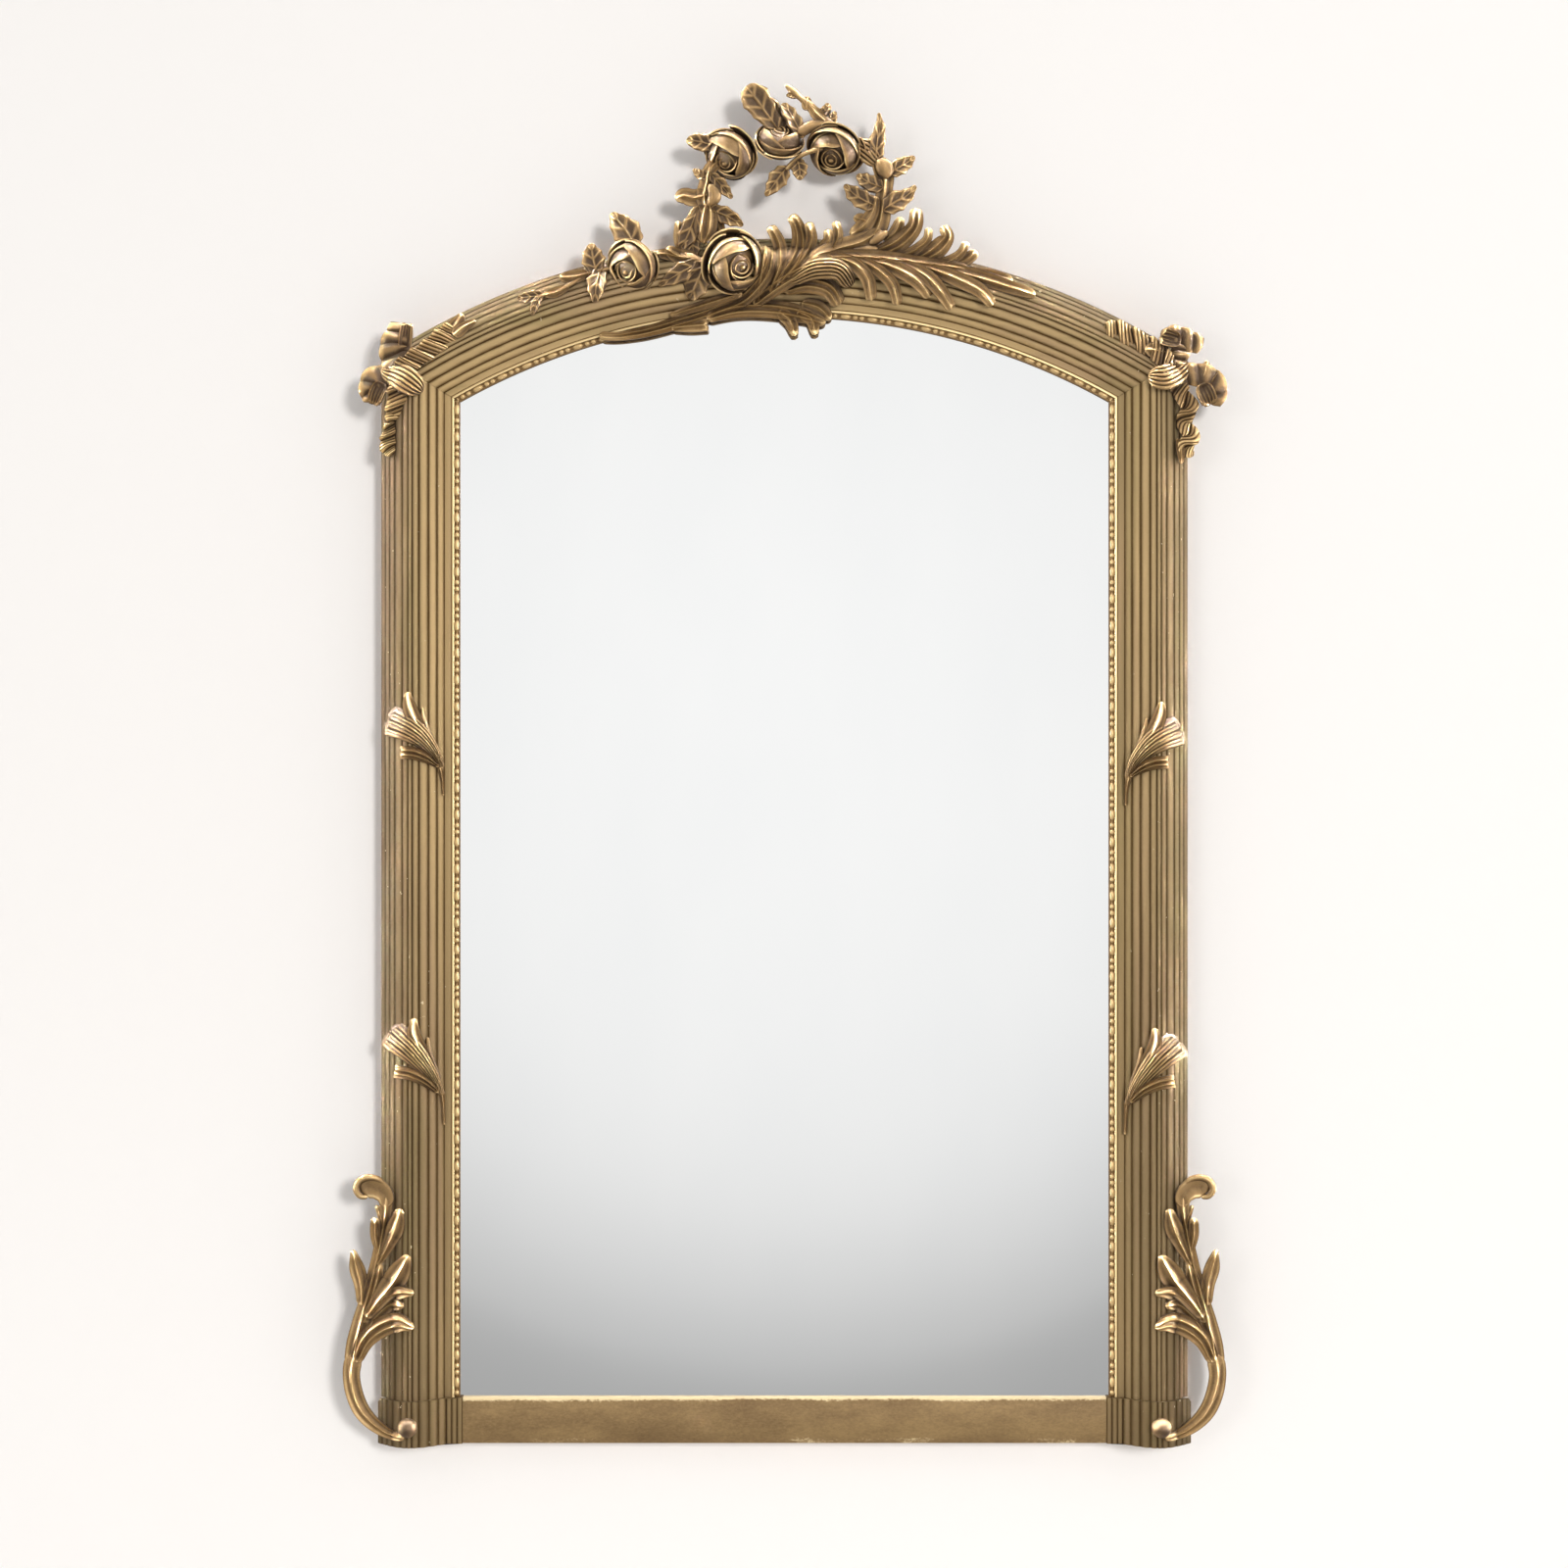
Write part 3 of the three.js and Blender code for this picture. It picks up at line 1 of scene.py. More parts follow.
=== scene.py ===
"""Trumeau mirror: an arched plate in a reeded and gilded frame, with ribbon bows, acanthus leaves, scroll
brackets and a crest of roses. The surfaces are worked out in millimetres and scaled to metres at the end."""
import math

import bpy
import numpy as np
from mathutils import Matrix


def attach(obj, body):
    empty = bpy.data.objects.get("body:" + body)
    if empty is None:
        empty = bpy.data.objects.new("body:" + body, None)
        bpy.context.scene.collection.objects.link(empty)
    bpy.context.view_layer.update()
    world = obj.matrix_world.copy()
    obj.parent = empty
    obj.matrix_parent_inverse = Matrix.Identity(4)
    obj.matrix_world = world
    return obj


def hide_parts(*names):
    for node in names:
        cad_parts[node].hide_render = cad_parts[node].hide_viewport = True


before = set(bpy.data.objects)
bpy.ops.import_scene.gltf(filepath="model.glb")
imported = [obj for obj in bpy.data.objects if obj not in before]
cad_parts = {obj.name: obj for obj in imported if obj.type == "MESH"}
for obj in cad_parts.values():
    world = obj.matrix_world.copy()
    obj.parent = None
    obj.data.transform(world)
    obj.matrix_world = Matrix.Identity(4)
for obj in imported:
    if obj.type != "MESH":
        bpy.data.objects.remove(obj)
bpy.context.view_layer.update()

# ---- sizes, in millimetres

SIGHT_HALF_WIDTH = 433.0
SIGHT_CORNER_Z = 1388.0
HEAD_SIGHT_RADIUS = 884.0
RAIL_HEIGHT = 61.0
CLEARANCE = 0.35
STRIP_WIDTH = 11.0
FILLET_WIDTH = 9.0
REED_WIDTHS = np.array([9, 10.5, 12, 8.5, 5.5, 7.5, 11, 8, 6.5, 6.5])
REED_CUTS = np.array([3.0, 3.2, 3.2, 2.8, 2.0, 1.9, 2.0, 1.6, 1.4, 1.2])
GROOVE_DEPTH = 2.6
LIP_DEPTH = 26.0
FILLET_DEPTH = 30.0
CUSHION_DEPTH = 62.0
CUSHION_AT = 62.0
EDGE_DEPTH = 24.0
REBATE_WIDTH, REBATE_DEPTH = 12.0, 22.0
BOARD_REBATE_WIDTH, BOARD_REBATE_DEPTH = 20.0, 11.0
BEADS_OUT = 4.0
STRIP_RISE = 4.6
PLINTH_PROUD = 4.0
PLINTH_CHAMFER = 6.0
RAIL_CROWN = 3.0
RELIEF_THICKNESS = 6.5
CARVING_LIFT = 3.0
OVERHANG_DEPTH = 48.0
BRACE = dict(length=96.0, width=20.0, thickness=2.5, out=62.0)
HANGER = dict(out=62.0, height=1180.0)
RECESS = dict(width=46.0, above=66.0, below=44.0, depth=13.0)
STILE_GAP, HEAD_GAP = CLEARANCE * 0.6, CLEARANCE * 0.5
BARE_DEPTH, PLINTH_BARE_DEPTH = 20, 5

REEDS_AT = STRIP_WIDTH + FILLET_WIDTH
MOULDING_WIDTH = REEDS_AT + REED_WIDTHS.sum()
HEAD_CENTRE_Z = SIGHT_CORNER_Z - math.sqrt(HEAD_SIGHT_RADIUS**2 - SIGHT_HALF_WIDTH**2)
HEAD_RADIUS = HEAD_SIGHT_RADIUS + MOULDING_WIDTH
HALF_WIDTH = SIGHT_HALF_WIDTH + MOULDING_WIDTH
CORNER_Z = HEAD_CENTRE_Z + math.sqrt(HEAD_RADIUS**2 - HALF_WIDTH**2)
CUSHION_ROOT = FILLET_DEPTH + GROOVE_DEPTH
FRONT = np.array([0.0, -1.0, 0.0])
METRES = 0.001
CREASE_ANGLE = math.radians(40)
SIDES = ((-1, "left"), (1, "right"))
NO_TRIANGLES = np.zeros((0, 3), int)

random = np.random.default_rng(7)


def cushion_depth(out):
    """Depth over the reeds' crests: a quarter sine up to the crown and a quarter cosine down from it."""
    rise = np.clip((out - REEDS_AT) / (CUSHION_AT - REEDS_AT), 0, 1)
    fall = np.clip((out - CUSHION_AT) / (MOULDING_WIDTH - CUSHION_AT), 0, 1)
    inner = CUSHION_ROOT + (CUSHION_DEPTH - CUSHION_ROOT) * np.sin(rise * np.pi / 2)
    outer = EDGE_DEPTH + (CUSHION_DEPTH - EDGE_DEPTH) * np.cos(fall * np.pi / 2)
    return np.where(out < CUSHION_AT, inner, outer)


def rest_depth(out):
    """Depth on which a carving lies: the moulding, and past its crown at least the overhang's level."""
    return np.where(out < CUSHION_AT, cushion_depth(out), np.maximum(cushion_depth(out), OVERHANG_DEPTH))


def smooth(value, low, high):
    """A smooth step from 0 at low to 1 at high."""
    share = np.clip((value - low) / (high - low), 0, 1)
    return share * share * (3 - 2 * share)


def unit(vectors):
    return vectors / np.maximum(np.linalg.norm(vectors, axis=-1, keepdims=True), 1e-9)


# ---- places on the frame


def head_point(angle, radius, depth):
    return np.stack([radius * np.sin(angle), -depth, HEAD_CENTRE_Z + radius * np.cos(angle)], -1)


def on_head(along, outward, lift):
    """A point along the head's outer edge from the crown, outward from that edge."""
    depth = rest_depth(MOULDING_WIDTH + outward) + lift
    return head_point(along / HEAD_RADIUS, HEAD_RADIUS + outward, depth)


def sight_distance(x, z):
    """Distance from the sight edge of a point of the front view, over the stiles or the head."""
    return np.maximum(np.abs(x) - SIGHT_HALF_WIDTH, np.hypot(x, z - HEAD_CENTRE_Z) - HEAD_SIGHT_RADIUS)


def on_face(x, z, lift):
    """A point of the front view on the moulding, whichever of the stiles and the head it lies on."""
    return np.stack([x, -(rest_depth(sight_distance(x, z)) + lift), z], -1)


def on_stile(side, foot=0.0, start=0.0):
    return lambda out, height, lift: on_face(side * (SIGHT_HALF_WIDTH + start + out), foot + height, lift)


def on_corner(side):
    return lambda outward, up, lift: on_face(side * (HALF_WIDTH + outward), CORNER_Z + up, lift)


# ---- closed surfaces


class Surface:
    """Points, quads and triangles of one closed body, with a ridge value at each point."""

    def __init__(self, points, quads, triangles, ridge):
        self.points, self.quads, self.triangles, self.ridge = points, quads, triangles, ridge
        corners = np.concatenate([quads[:, [0, 1, 2]], quads[:, [0, 2, 3]], triangles])
        a, b, c = (points[corners[:, i]] for i in range(3))
        if np.einsum("ij,ij->", a, np.cross(b, c)) < 0:
            self.quads, self.triangles = quads[:, ::-1], triangles[:, ::-1]


def tube(rings, ridge):
    """A body skinned over rings of points, with a pole in the middle of each end."""
    count, around = rings.shape[:2]
    index = np.arange(count * around).reshape(count, around)
    near, far, pole = index[:-1], index[1:], np.full(around, index.size)
    quads = np.stack([near, np.roll(near, -1, 1), np.roll(far, -1, 1), far], -1).reshape(-1, 4)
    triangles = np.concatenate([
        np.stack([np.roll(index[0], -1), index[0], pole], -1),
        np.stack([index[-1], np.roll(index[-1], -1), pole + 1], -1),
    ])
    points = np.concatenate([rings.reshape(-1, 3), [rings[0].mean(0), rings[-1].mean(0)]])
    ridge = np.concatenate([ridge.reshape(-1), [ridge[0].mean(), ridge[-1].mean()]])
    return Surface(points, quads, triangles, ridge)


def capped(rings, ridge):
    """A prism-like body over rings of points, each end closed by a rim drawn in to its middle."""
    drawn_in = lambda ring: (ring.mean(0) + (ring - ring.mean(0)) * 0.97)[None]
    rings = np.concatenate([drawn_in(rings[0]), rings, drawn_in(rings[-1])])
    return tube(rings, np.concatenate([ridge[:1], ridge, ridge[-1:]]))


def shell(face, thickness, ridge):
    """A sheet: a grid of points moved half a thickness to either side along its normals, and a rim."""
    rows, columns = face.shape[:2]
    normal = unit(np.cross(np.gradient(face, axis=0), np.gradient(face, axis=1)))
    half = normal * thickness[..., None] / 2
    index = np.arange(rows * columns).reshape(rows, columns)
    corners = [index[:-1, :-1], index[:-1, 1:], index[1:, 1:], index[1:, :-1]]
    cells = np.stack(corners, -1).reshape(-1, 4)
    rim = np.concatenate([index[0, :-1], index[:-1, -1], index[-1, :0:-1], index[:0:-1, 0]])
    far = rim + rows * columns
    walls = np.stack([np.roll(rim, -1), rim, far, np.roll(far, -1)], -1)
    quads = np.concatenate([cells, (cells + rows * columns)[:, ::-1], walls])
    points = np.concatenate([(face + half).reshape(-1, 3), (face - half).reshape(-1, 3)])
    return Surface(points, quads, NO_TRIANGLES, np.tile(ridge.reshape(-1), 2))


def ball(centre, axes, rows=18, columns=28, bright=0.6):
    """An ellipsoid: circles of latitude about its third axis; axes holds its three half axes as rows."""
    tilt = np.linspace(0.06, np.pi - 0.06, rows)[:, None, None]
    turn = np.linspace(0, 2 * np.pi, columns, endpoint=False)[None, :, None]
    axes = np.asarray(axes, float)
    points = np.sin(tilt) * (np.cos(turn) * axes[0] + np.sin(turn) * axes[1]) + np.cos(tilt) * axes[2]
    return tube(centre + points, np.full((rows, columns), bright))


# ---- carved strokes


def resampled(rows, count):
    """A smooth line through rows of numbers: cubics by chord length, with slopes from the next rows."""
    table = np.array([[*row, CARVING_LIFT][:4] for row in rows], float)
    knots = np.concatenate([[0], np.cumsum(np.hypot(*np.diff(table[:, :2], axis=0).T))])
    slopes = np.gradient(table, knots, axis=0)
    share = np.linspace(0.003, 0.997, count)
    at = knots[-1] * (0.35 * (1 - np.cos(np.pi * share)) / 2 + 0.65 * share)
    i = np.clip(np.searchsorted(knots, at, side="right") - 1, 0, len(knots) - 2)
    gap = (knots[i + 1] - knots[i])[:, None]
    s = (at - knots[i])[:, None] / gap
    start = (1 + 2 * s) * (1 - s) ** 2 * table[i] + s * (1 - s) ** 2 * gap * slopes[i]
    finish = s**2 * (3 - 2 * s) * table[i + 1] + s**2 * (s - 1) * gap * slopes[i + 1]
    return (start + finish).T


def crowned(v, flatness):
    """A round back across a stroke, flat for 0 and a half circle for 1."""
    return np.sqrt(np.clip(1 - flatness * v * v, 0, 1))


# A form takes v across the stroke, from -1 to 1, and t along it, from 0 to 1. It gives the height there as a
# share of the relief, how bright the gilding is painted there, and by how much the stroke is wider than its half
# width. The brightness paints light and shade: painted shade in hollows, creases and along the stroke's edges,
# and light on crests and arrises, partly rubbed gold and partly painted highlight.


def fluted(count, depth=0.62):
    """Hollow flutes between sharp arrises: each rises from its middle to its edges by a power of 1.7."""

    def form(v, t):
        cell = (v + 1) / 2 * count
        arris = np.abs(2 * (cell - np.floor(cell)) - 1) ** 1.7
        fade = smooth(t, 0.0, 0.12) * (1 - 0.75 * smooth(t, 0.74, 0.96))
        side = np.abs(v)
        # Painted shade in the flutes and along both edges of the stroke, and light on the arrises.
        bright = 0.3 + 0.8 * arris * (1 - smooth(side, 0.8, 1)) - 0.7 * smooth(side, 0.72, 1)
        return crowned(v, 0.7) * (1 - depth * fade * (1 - arris)), bright, 1

    return form


def reeded(count):
    """Convex reeds between narrow creases: a half sine for each."""

    def form(v, t):
        reed = np.abs(np.sin(np.pi * (v + 1) / 2 * count))
        # Light on the reeds' crests, with painted shade in the creases and along both edges, and darker towards the
        # tip.
        bright = 0.7 * reed**1.5 - 0.1 - 0.7 * smooth(t, 0.6, 1) - 0.4 * smooth(np.abs(v), 0.7, 1)
        return crowned(v, 0.8) * (1 - 0.45 * smooth(t, 0.0, 0.12) * (1 - reed**0.6)), bright, 1

    return form


def pleated(count):
    """A ribbon in crosswise panels: each a slow rise and a quick fall, with stepped ends and four creases."""

    def form(v, t):
        wave = count / 2 * t + 0.35 * v
        saw = wave - np.floor(wave)
        panel = np.where(saw < 0.8, saw / 0.8, (1 - saw) / 0.2)
        crease = np.abs(np.sin(np.pi * 4 * wave))
        # Light on the creases and towards the ribbon's end, darker towards its root, and painted shade on the quick
        # fall of each panel.
        bright = (0.4 + 0.8 * crease**1.2) * (0.3 + 0.9 * t) - 0.4 * (1 - t) - 0.7 * smooth(panel, 0.4, 0)
        return 0.1 + 0.9 * panel + 0.35 * crease**0.7 - 0.15 * v * v, bright, 0.86 + 0.26 * panel

    form.density = 2.4
    return form


def gathered(count):
    """A puffed loop: reeds that run across it between sharp creases."""

    def form(v, t):
        reed = np.abs(np.sin(np.pi * (count * t + 0.25 * v)))
        # Light on the reeds, with painted shade in the creases between them.
        bright = 0.7 * reed**2.5 - 0.45
        return crowned(v, 0.7) * (0.5 + 0.5 * reed**0.7), bright, 1 + 0.1 * (reed - 0.5)

    form.density = 1.8
    return form


def veined(v, t):
    """A leaf: halves that rise from a raised midrib to a toothed rim, and four veins that branch to the tip."""
    side = np.abs(v)
    rib = np.exp(-((v / 0.1) ** 2)) * (1 - 0.7 * t)
    wave = 4 * t - 0.8 * side
    off = np.abs(wave - np.round(wave))
    vein = np.exp(-((off / 0.14) ** 2)) * smooth(side, 0.03, 0.16) * (1 - 0.45 * side)
    height = 0.3 + 0.45 * rib + 0.5 * side**1.4 + 0.22 * vein - 0.35 * smooth(side, 0.82, 1.0)
    # Light on the midrib and veins, with painted shade along the rim.
    bright = np.clip(rib + 0.85 * vein, 0, 1) - 0.15 - 0.3 * smooth(side, 0.8, 1.0)
    return height, bright, 1 + 0.1 * smooth(side, 0.5, 1.0) * (1 - 4 * off)


def cupped(v, t):
    """The hollow mouth of a loop: high at the rims and deep in the middle, with a few folds."""
    folds = np.abs(np.sin(2.5 * np.pi * v)) ** 3 * t
    # Painted shade deep in the mouth, and light on the folds and rims.
    bright = 0.9 * folds - 0.4 + 0.5 * smooth(np.abs(v), 0.75, 0.95)
    return 1 - 0.95 * (1 - np.abs(v) ** 1.8) * smooth(t, 0, 0.25) + 0.25 * folds, bright, 1


def rounded(v, t):
    """A plain round back, with a painted highlight along its crown."""
    return crowned(v, 1), 0.7 * np.exp(-((v / 0.4) ** 2)), 1


FORMS = {
    "gutter": fluted(1), "two": fluted(2), "flute": fluted(2, 0.75), "fine": fluted(3, 0.75),
    "ribs": reeded(6), "comb": reeded(8), "leaf": veined, "round": rounded, "cup": cupped,
    **{f"puff{count}": gathered(count) for count in (4, 5)},
    **{f"pleats{count}": pleated(count) for count in (6, 8, 10, 12)},
}
ROUND_END = 1.2
TOP_POINTS, UNDER_POINTS = 37, 8


def tip_factor(distance, radius):
    """A round end: the height of a circle of that radius at a distance inside its edge."""
    share = np.clip(distance / np.maximum(radius, 0.5), 0, 1)
    return np.sqrt(1 - (1 - share) ** 2)


def stroke(place, rows, form, curl=0.0, tilt=0.0, root=0.0, blunt=ROUND_END):
    """
    A carved piece along a smooth line. Its section is a form above and a shallow bow below; it rounds off over
    its own half width at both ends, or over a share blunt of it at the tip, which is then cut in fingers.
    Curl lifts the tip and root deepens the underside, in millimetres; tilt turns the section in degrees.
    """
    span = math.dist(rows[0][:2], rows[-1][:2])
    rings = int(np.clip(span * getattr(form, "density", 0.8), 48, 300))
    first, second, half, lift = resampled(rows, rings)
    t = np.linspace(0, 1, rings)
    spine = place(first, second, lift + curl * smooth(t, 0.45, 0.95) - 0.45 * curl * smooth(t, 0.9, 1))
    length = np.concatenate([[0], np.cumsum(np.linalg.norm(np.diff(spine, axis=0), axis=1))])
    half = np.maximum(half, 0.8)
    foot_reach = min(half[0] * ROUND_END, 0.3 * length[-1])
    tip_reach = min(half[-1] * blunt, 0.3 * length[-1])
    cap = tip_factor(length + 0.2, foot_reach) * tip_factor(length[-1] - length + 0.2, tip_reach)
    along = unit(np.gradient(spine, axis=0))
    aside = unit(np.cross(FRONT, along))
    ahead = np.cross(along, aside)
    angle = np.radians(tilt) * smooth(t, 0.1, 0.7)[:, None]
    cosine, sine = np.cos(angle), np.sin(angle)
    aside, ahead = aside * cosine + ahead * sine, ahead * cosine - aside * sine
    relief = np.minimum(RELIEF_THICKNESS, 1.5 + 0.7 * half)[:, None]
    column = np.zeros((rings, 1))
    v = np.linspace(-1, 1, TOP_POINTS)[None, :] + column
    height, ridge, spread = form(v, t[:, None])
    under = np.linspace(1, -1, UNDER_POINTS)[None, :] + column
    low = -(0.75 * relief + root) * np.sqrt(1 - 0.55 * under**2)
    across = np.concatenate([v * spread, 0.94 * under], 1) * (half * cap)[:, None]
    up = np.concatenate([height * relief, low], 1) * np.sqrt(cap)[:, None]
    ridge = np.concatenate([ridge, 0 * under], 1)
    fingers = ridge * max(ROUND_END - blunt, 0) * 0.4 * half[-1] * smooth(t, 0.72, 1)[:, None]
    points = spine[:, None] + across[..., None] * aside[:, None] + up[..., None] * ahead[:, None]
    return tube(points - fingers[..., None] * along[:, None], ridge)


# ---- roses


def petal(centre, axes, turn, wide, foot, belly, rim, roll, thickness):
    """
    One petal. Up the petal, radius and height run on a quadratic curve from foot past belly to rim, and the lip
    rolls outward. Across it the petal follows a circle about the axis, one side lapping outside the other, and
    its corners are cut round.
    """
    aside, up, axis = axes
    s = np.linspace(0, 1, 19)[:, None]
    v = np.linspace(-1, 1, 21)[None, :]
    cut = s * (1 - 0.26 * np.abs(v) ** 3 - 0.06 * v)
    radius, height = (
        a * (1 - cut) ** 2 + 2 * b * cut * (1 - cut) + c * cut**2 for a, b, c in zip(foot, belly, rim)
    )
    lip = smooth(s, 0.7, 1.0) * (1 - 0.5 * np.abs(v) ** 4)
    radius = radius * (1 + PETAL_LAP * v) + roll * lip**1.5
    height = height - 0.45 * roll * lip**3
    angle = turn + v * wide * (0.6 + 0.4 * smooth(s, 0, 0.5))
    radial = np.cos(angle)[..., None] * aside + np.sin(angle)[..., None] * up
    face = centre + radius[..., None] * radial + height[..., None] * axis
    # Painted shade over the petal, deeper at its sides, and a light rim on the rolled lip.
    bright = 0.9 * lip * smooth(s, 0.88, 0.98) - 0.5 - 0.3 * np.abs(v) ** 3
    return shell(face, thickness * (1 - 0.45 * s) + 0 * v, bright)


def rose(centre, radius, lean):
    """Petals in whorls about a leaning axis, from the open outer ones to the closed heart, over a core."""
    axis = unit(np.array([lean[0], -1.0, lean[1]]))
    aside = unit(np.cross([0, 0, 1.0], axis))
    up = np.cross(axis, aside)
    # The core is painted dark, as shade deep among the petals.
    parts = [ball(centre, np.array([aside * 0.78, up * 0.78, axis * 0.5]) * radius, bright=-0.3)]
    lean = np.array([lean[0], 0, lean[1]])
    toward = (aside * (aside @ lean) + up * (up @ lean)) * radius * 0.07
    for count, foot, belly, rim, roll in WHORLS:
        start = random.uniform(0, 6)
        wide = 1.35 * np.pi / count
        for k in range(count):
            share = radius * random.uniform(0.88, 1.02)
            turn = start + 2 * np.pi * k / count + random.uniform(-0.25, 0.25)
            curve = (np.array(place) * share for place in (foot, belly, rim))
            parts.append(petal(centre, (aside, up, axis), turn, wide, *curve, roll * share, 0.09 * radius))
        centre = centre + toward
    heart = centre + axis * radius * 0.42
    parts.append(ball(heart, np.array([aside * 0.12, up * 0.1, axis * 0.14]) * radius, bright=0.3))
    return parts


PETAL_LAP = 0.08
# Each whorl's petals, radius and height of their foot, belly and rim, and roll of their lip, as shares of the
# rose's radius.
WHORLS = [
    (4, (0.4, -0.45), (1.05, -0.35), (1.0, 0.05), 0.1),
    (3, (0.4, -0.45), (1.22, -0.05), (0.86, 0.34), 0.07),
    (4, (0.4, -0.3), (1.28, 0.1), (0.52, 0.62), 0.03),
    (3, (0.2, 0.0), (0.6, 0.3), (0.36, 0.56), 0.03),
    (2, (0.1, 0.0), (0.36, 0.3), (0.2, 0.55), 0.02),
]

# ---- tables of the carved pieces



def stroke_tables(text):
    """
    Lists of strokes by name. Under each name there is a line for each stroke: its form and settings, then a
    colon and the rows of its line, which are two places, a half width and, if it isn't the usual one, a lift.
    """
    tables = {}
    for line in text.split("\n"):
        head, _, rows = line.partition(":")
        if rows:
            form, *settings = head.split()
            settings = {key: float(value) for key, value in (each.split("=") for each in settings)}
            rows = [[float(number) for number in row.split()] for row in rows.split(",")]
            strokes.append(dict(rows=rows, form=FORMS[form], **settings))
        elif head:
            strokes = tables[head] = []
    return tables


SIDE_STROKES = stroke_tables("""
upper_leaf
two: 21 0 1.5, 22 21 2.5, 25 39 4.5
comb blunt=0.3: 22 36 4, 33 59 9, 47 76 14, 66 90 18.5, 87 99 21.5
fine blunt=0.3: 27 39 2.5, 42 50 6.5, 57 56 8.5, 74 57 9
two curl=2: 35 70 5, 56 101 10, 63 120 9, 65 137 3.5
round: 31 65 4, 46 101 5.5, 46 116 2.5
lower_leaf
two: 20 0 2, 21 26 2.5, 23 47 4.5
comb blunt=0.3: 22 40 4, 34 65 9, 49 87 14, 68 108 18.5, 86 122 22.5
fine blunt=0.3: 27 45 4, 44 61 7, 62 70 8.5, 82 73 9
two curl=2: 31 69 5, 51 107 10, 57 125 9, 56 144 3.5
round: 26 60 4, 39 99 5.5, 40 118 2.5
left_bow
puff5 blunt=0.15: -30 -24 13 6, -22 -4 19 8, -20 14 17 9, -26 28 15 8, -29 39 14 6
cup blunt=0.15: -35 6 8 8, -37 21 9 12, -39 40 8 10
puff5 blunt=0.2: -30 -33 14 5, -9 -30 16 8, 6 -32 15.5 8, 13 -46 13 7, 10 -62 9 5
cup blunt=0.15: -6 -38 9 10, 0 -50 10 13, 6 -66 8 11
ribs: -4 -21 10.5 9, -26 -28 17 13, -45 -40 17 12, -58 -50 11.5 6
pleats6: -30 -30 11.5 10, -26 -55 13 9, -21 -73 10.5 7, -13 -89 6.5 6
pleats8: -15 -85 6.5, -14 -103 8.5, -12 -119 11, -15 -135 6.5
pleats12: -19 -29 11.5 9, -50 -7 13 7, -70 8 13 5, -88 24 14, -104 37 11.5
two: -94 29 11.5, -105 43 9, -111 55 4
two: -100 24 10.5, -115 37 7, -129 45 2.5
right_bow
pleats10: -23 -20 11.5 9, -54 10 13 6, -80 24 13, -100 34 12.5, -113 41 8
two: -28 2 8 7, -47 5 11.5 8, -62 6 8 6
puff4: -27 -28 13 7, -18 -7 13 10, -10 14 13 8
puff4 blunt=0.2: -40 25 12 6, -21 23 15.5 8, -1 17 14.5 8, 14 12 11 5
cup blunt=0.15: -14 17 8 12, -27 20 11 14, -40 24 11 12
ribs: -57 -30 11.5 7, -36 -32 17 12, -18 -23 15.5 12, -3 -11 10.5 8
puff5 blunt=0.2: -22 -28 13 9, 8 -27 15.5 9, 27 -34 16 8, 36 -49 13 7, 31 -66 9 5
two: 16 -33 8 8, 19 -20 6.5 9, 22 -8 2.5 7
two: 26 -38 6.5 8, 32 -29 5 8, 38 -21 2.5 6
cup blunt=0.15: 13 -40 10 12, 19 -52 12 14, 25 -66 10 11
pleats12: -22 -25 13 10, -13 -51 11.5 9, -1 -71 11 6, -9 -90 10.5, 1 -107 11, -6 -122 10.5, 3 -135 6.5
two: -17 -111 2.5, -13 -126 6 5, -12 -144 2.5
bracket
flute: -37 15 5 8, -17 17 6.5 6, 4 28 9 3, 22 47 11, 32 70 11.5, 36 96 11.5, 32 123 13
flute: 35 104 11.5, 30 135 13, 23 167 11.5, 13 205 9, 3 244 8, -5 283 8, -10 314 8.5, -10 334 10.5
gutter: -10 318 9 5, -9 332 12 6, 1 342 14 6, 14 344 14 5, 24 341 9 4
round: -12 344 3 5, 1 355 4 7, 14 357 4.5 8, 25 352 5 8, 29 342 5 8, 24 333 4.5 7, 14 331 3 6
flute curl=2: 1 241 4 5, -14 270 9 5, -24 293 12 6, -30 317 4.5
flute curl=3: 0 257 4, 4 280 7, 4 303 6.5
two: -6 280 4, -4 301 4.5, 3 320 2.5
flute curl=2: 22 187 6.5, 23 215 9.5, 29 238 10, 34 261 3
flute curl=3: 19 164 6.5, 9 197 9.5, 1 223 9, -3 243 2.5
flute curl=2: 17 171 6.5 5, -4 199 12 6, -21 220 16 6, -32 238 14 5, -41 256 4.5 4
flute curl=2: 9 177 5, -10 196 8.5, -30 206 8.5, -48 206 4
flute: 19 148 6.5, 1 175 10.5, -15 188 9, -35 188 5
fine curl=2: 31 112 8 5, 14 145 12.5 6, -8 161 14 6, -30 166 12.5 5, -48 160 4
bud
leaf: -79 121 9, -103 130 11, -115 133 5
""")
LEAVES = {
    "leaf_upper_left": (-1, "upper_leaf", 863),
    "leaf_upper_right": (1, "upper_leaf", 850),
    "leaf_lower_left": (-1, "lower_leaf", 425),
    "leaf_lower_right": (1, "lower_leaf", 412),
}
BOSS = dict(outward=-40, height=28, radius=13)

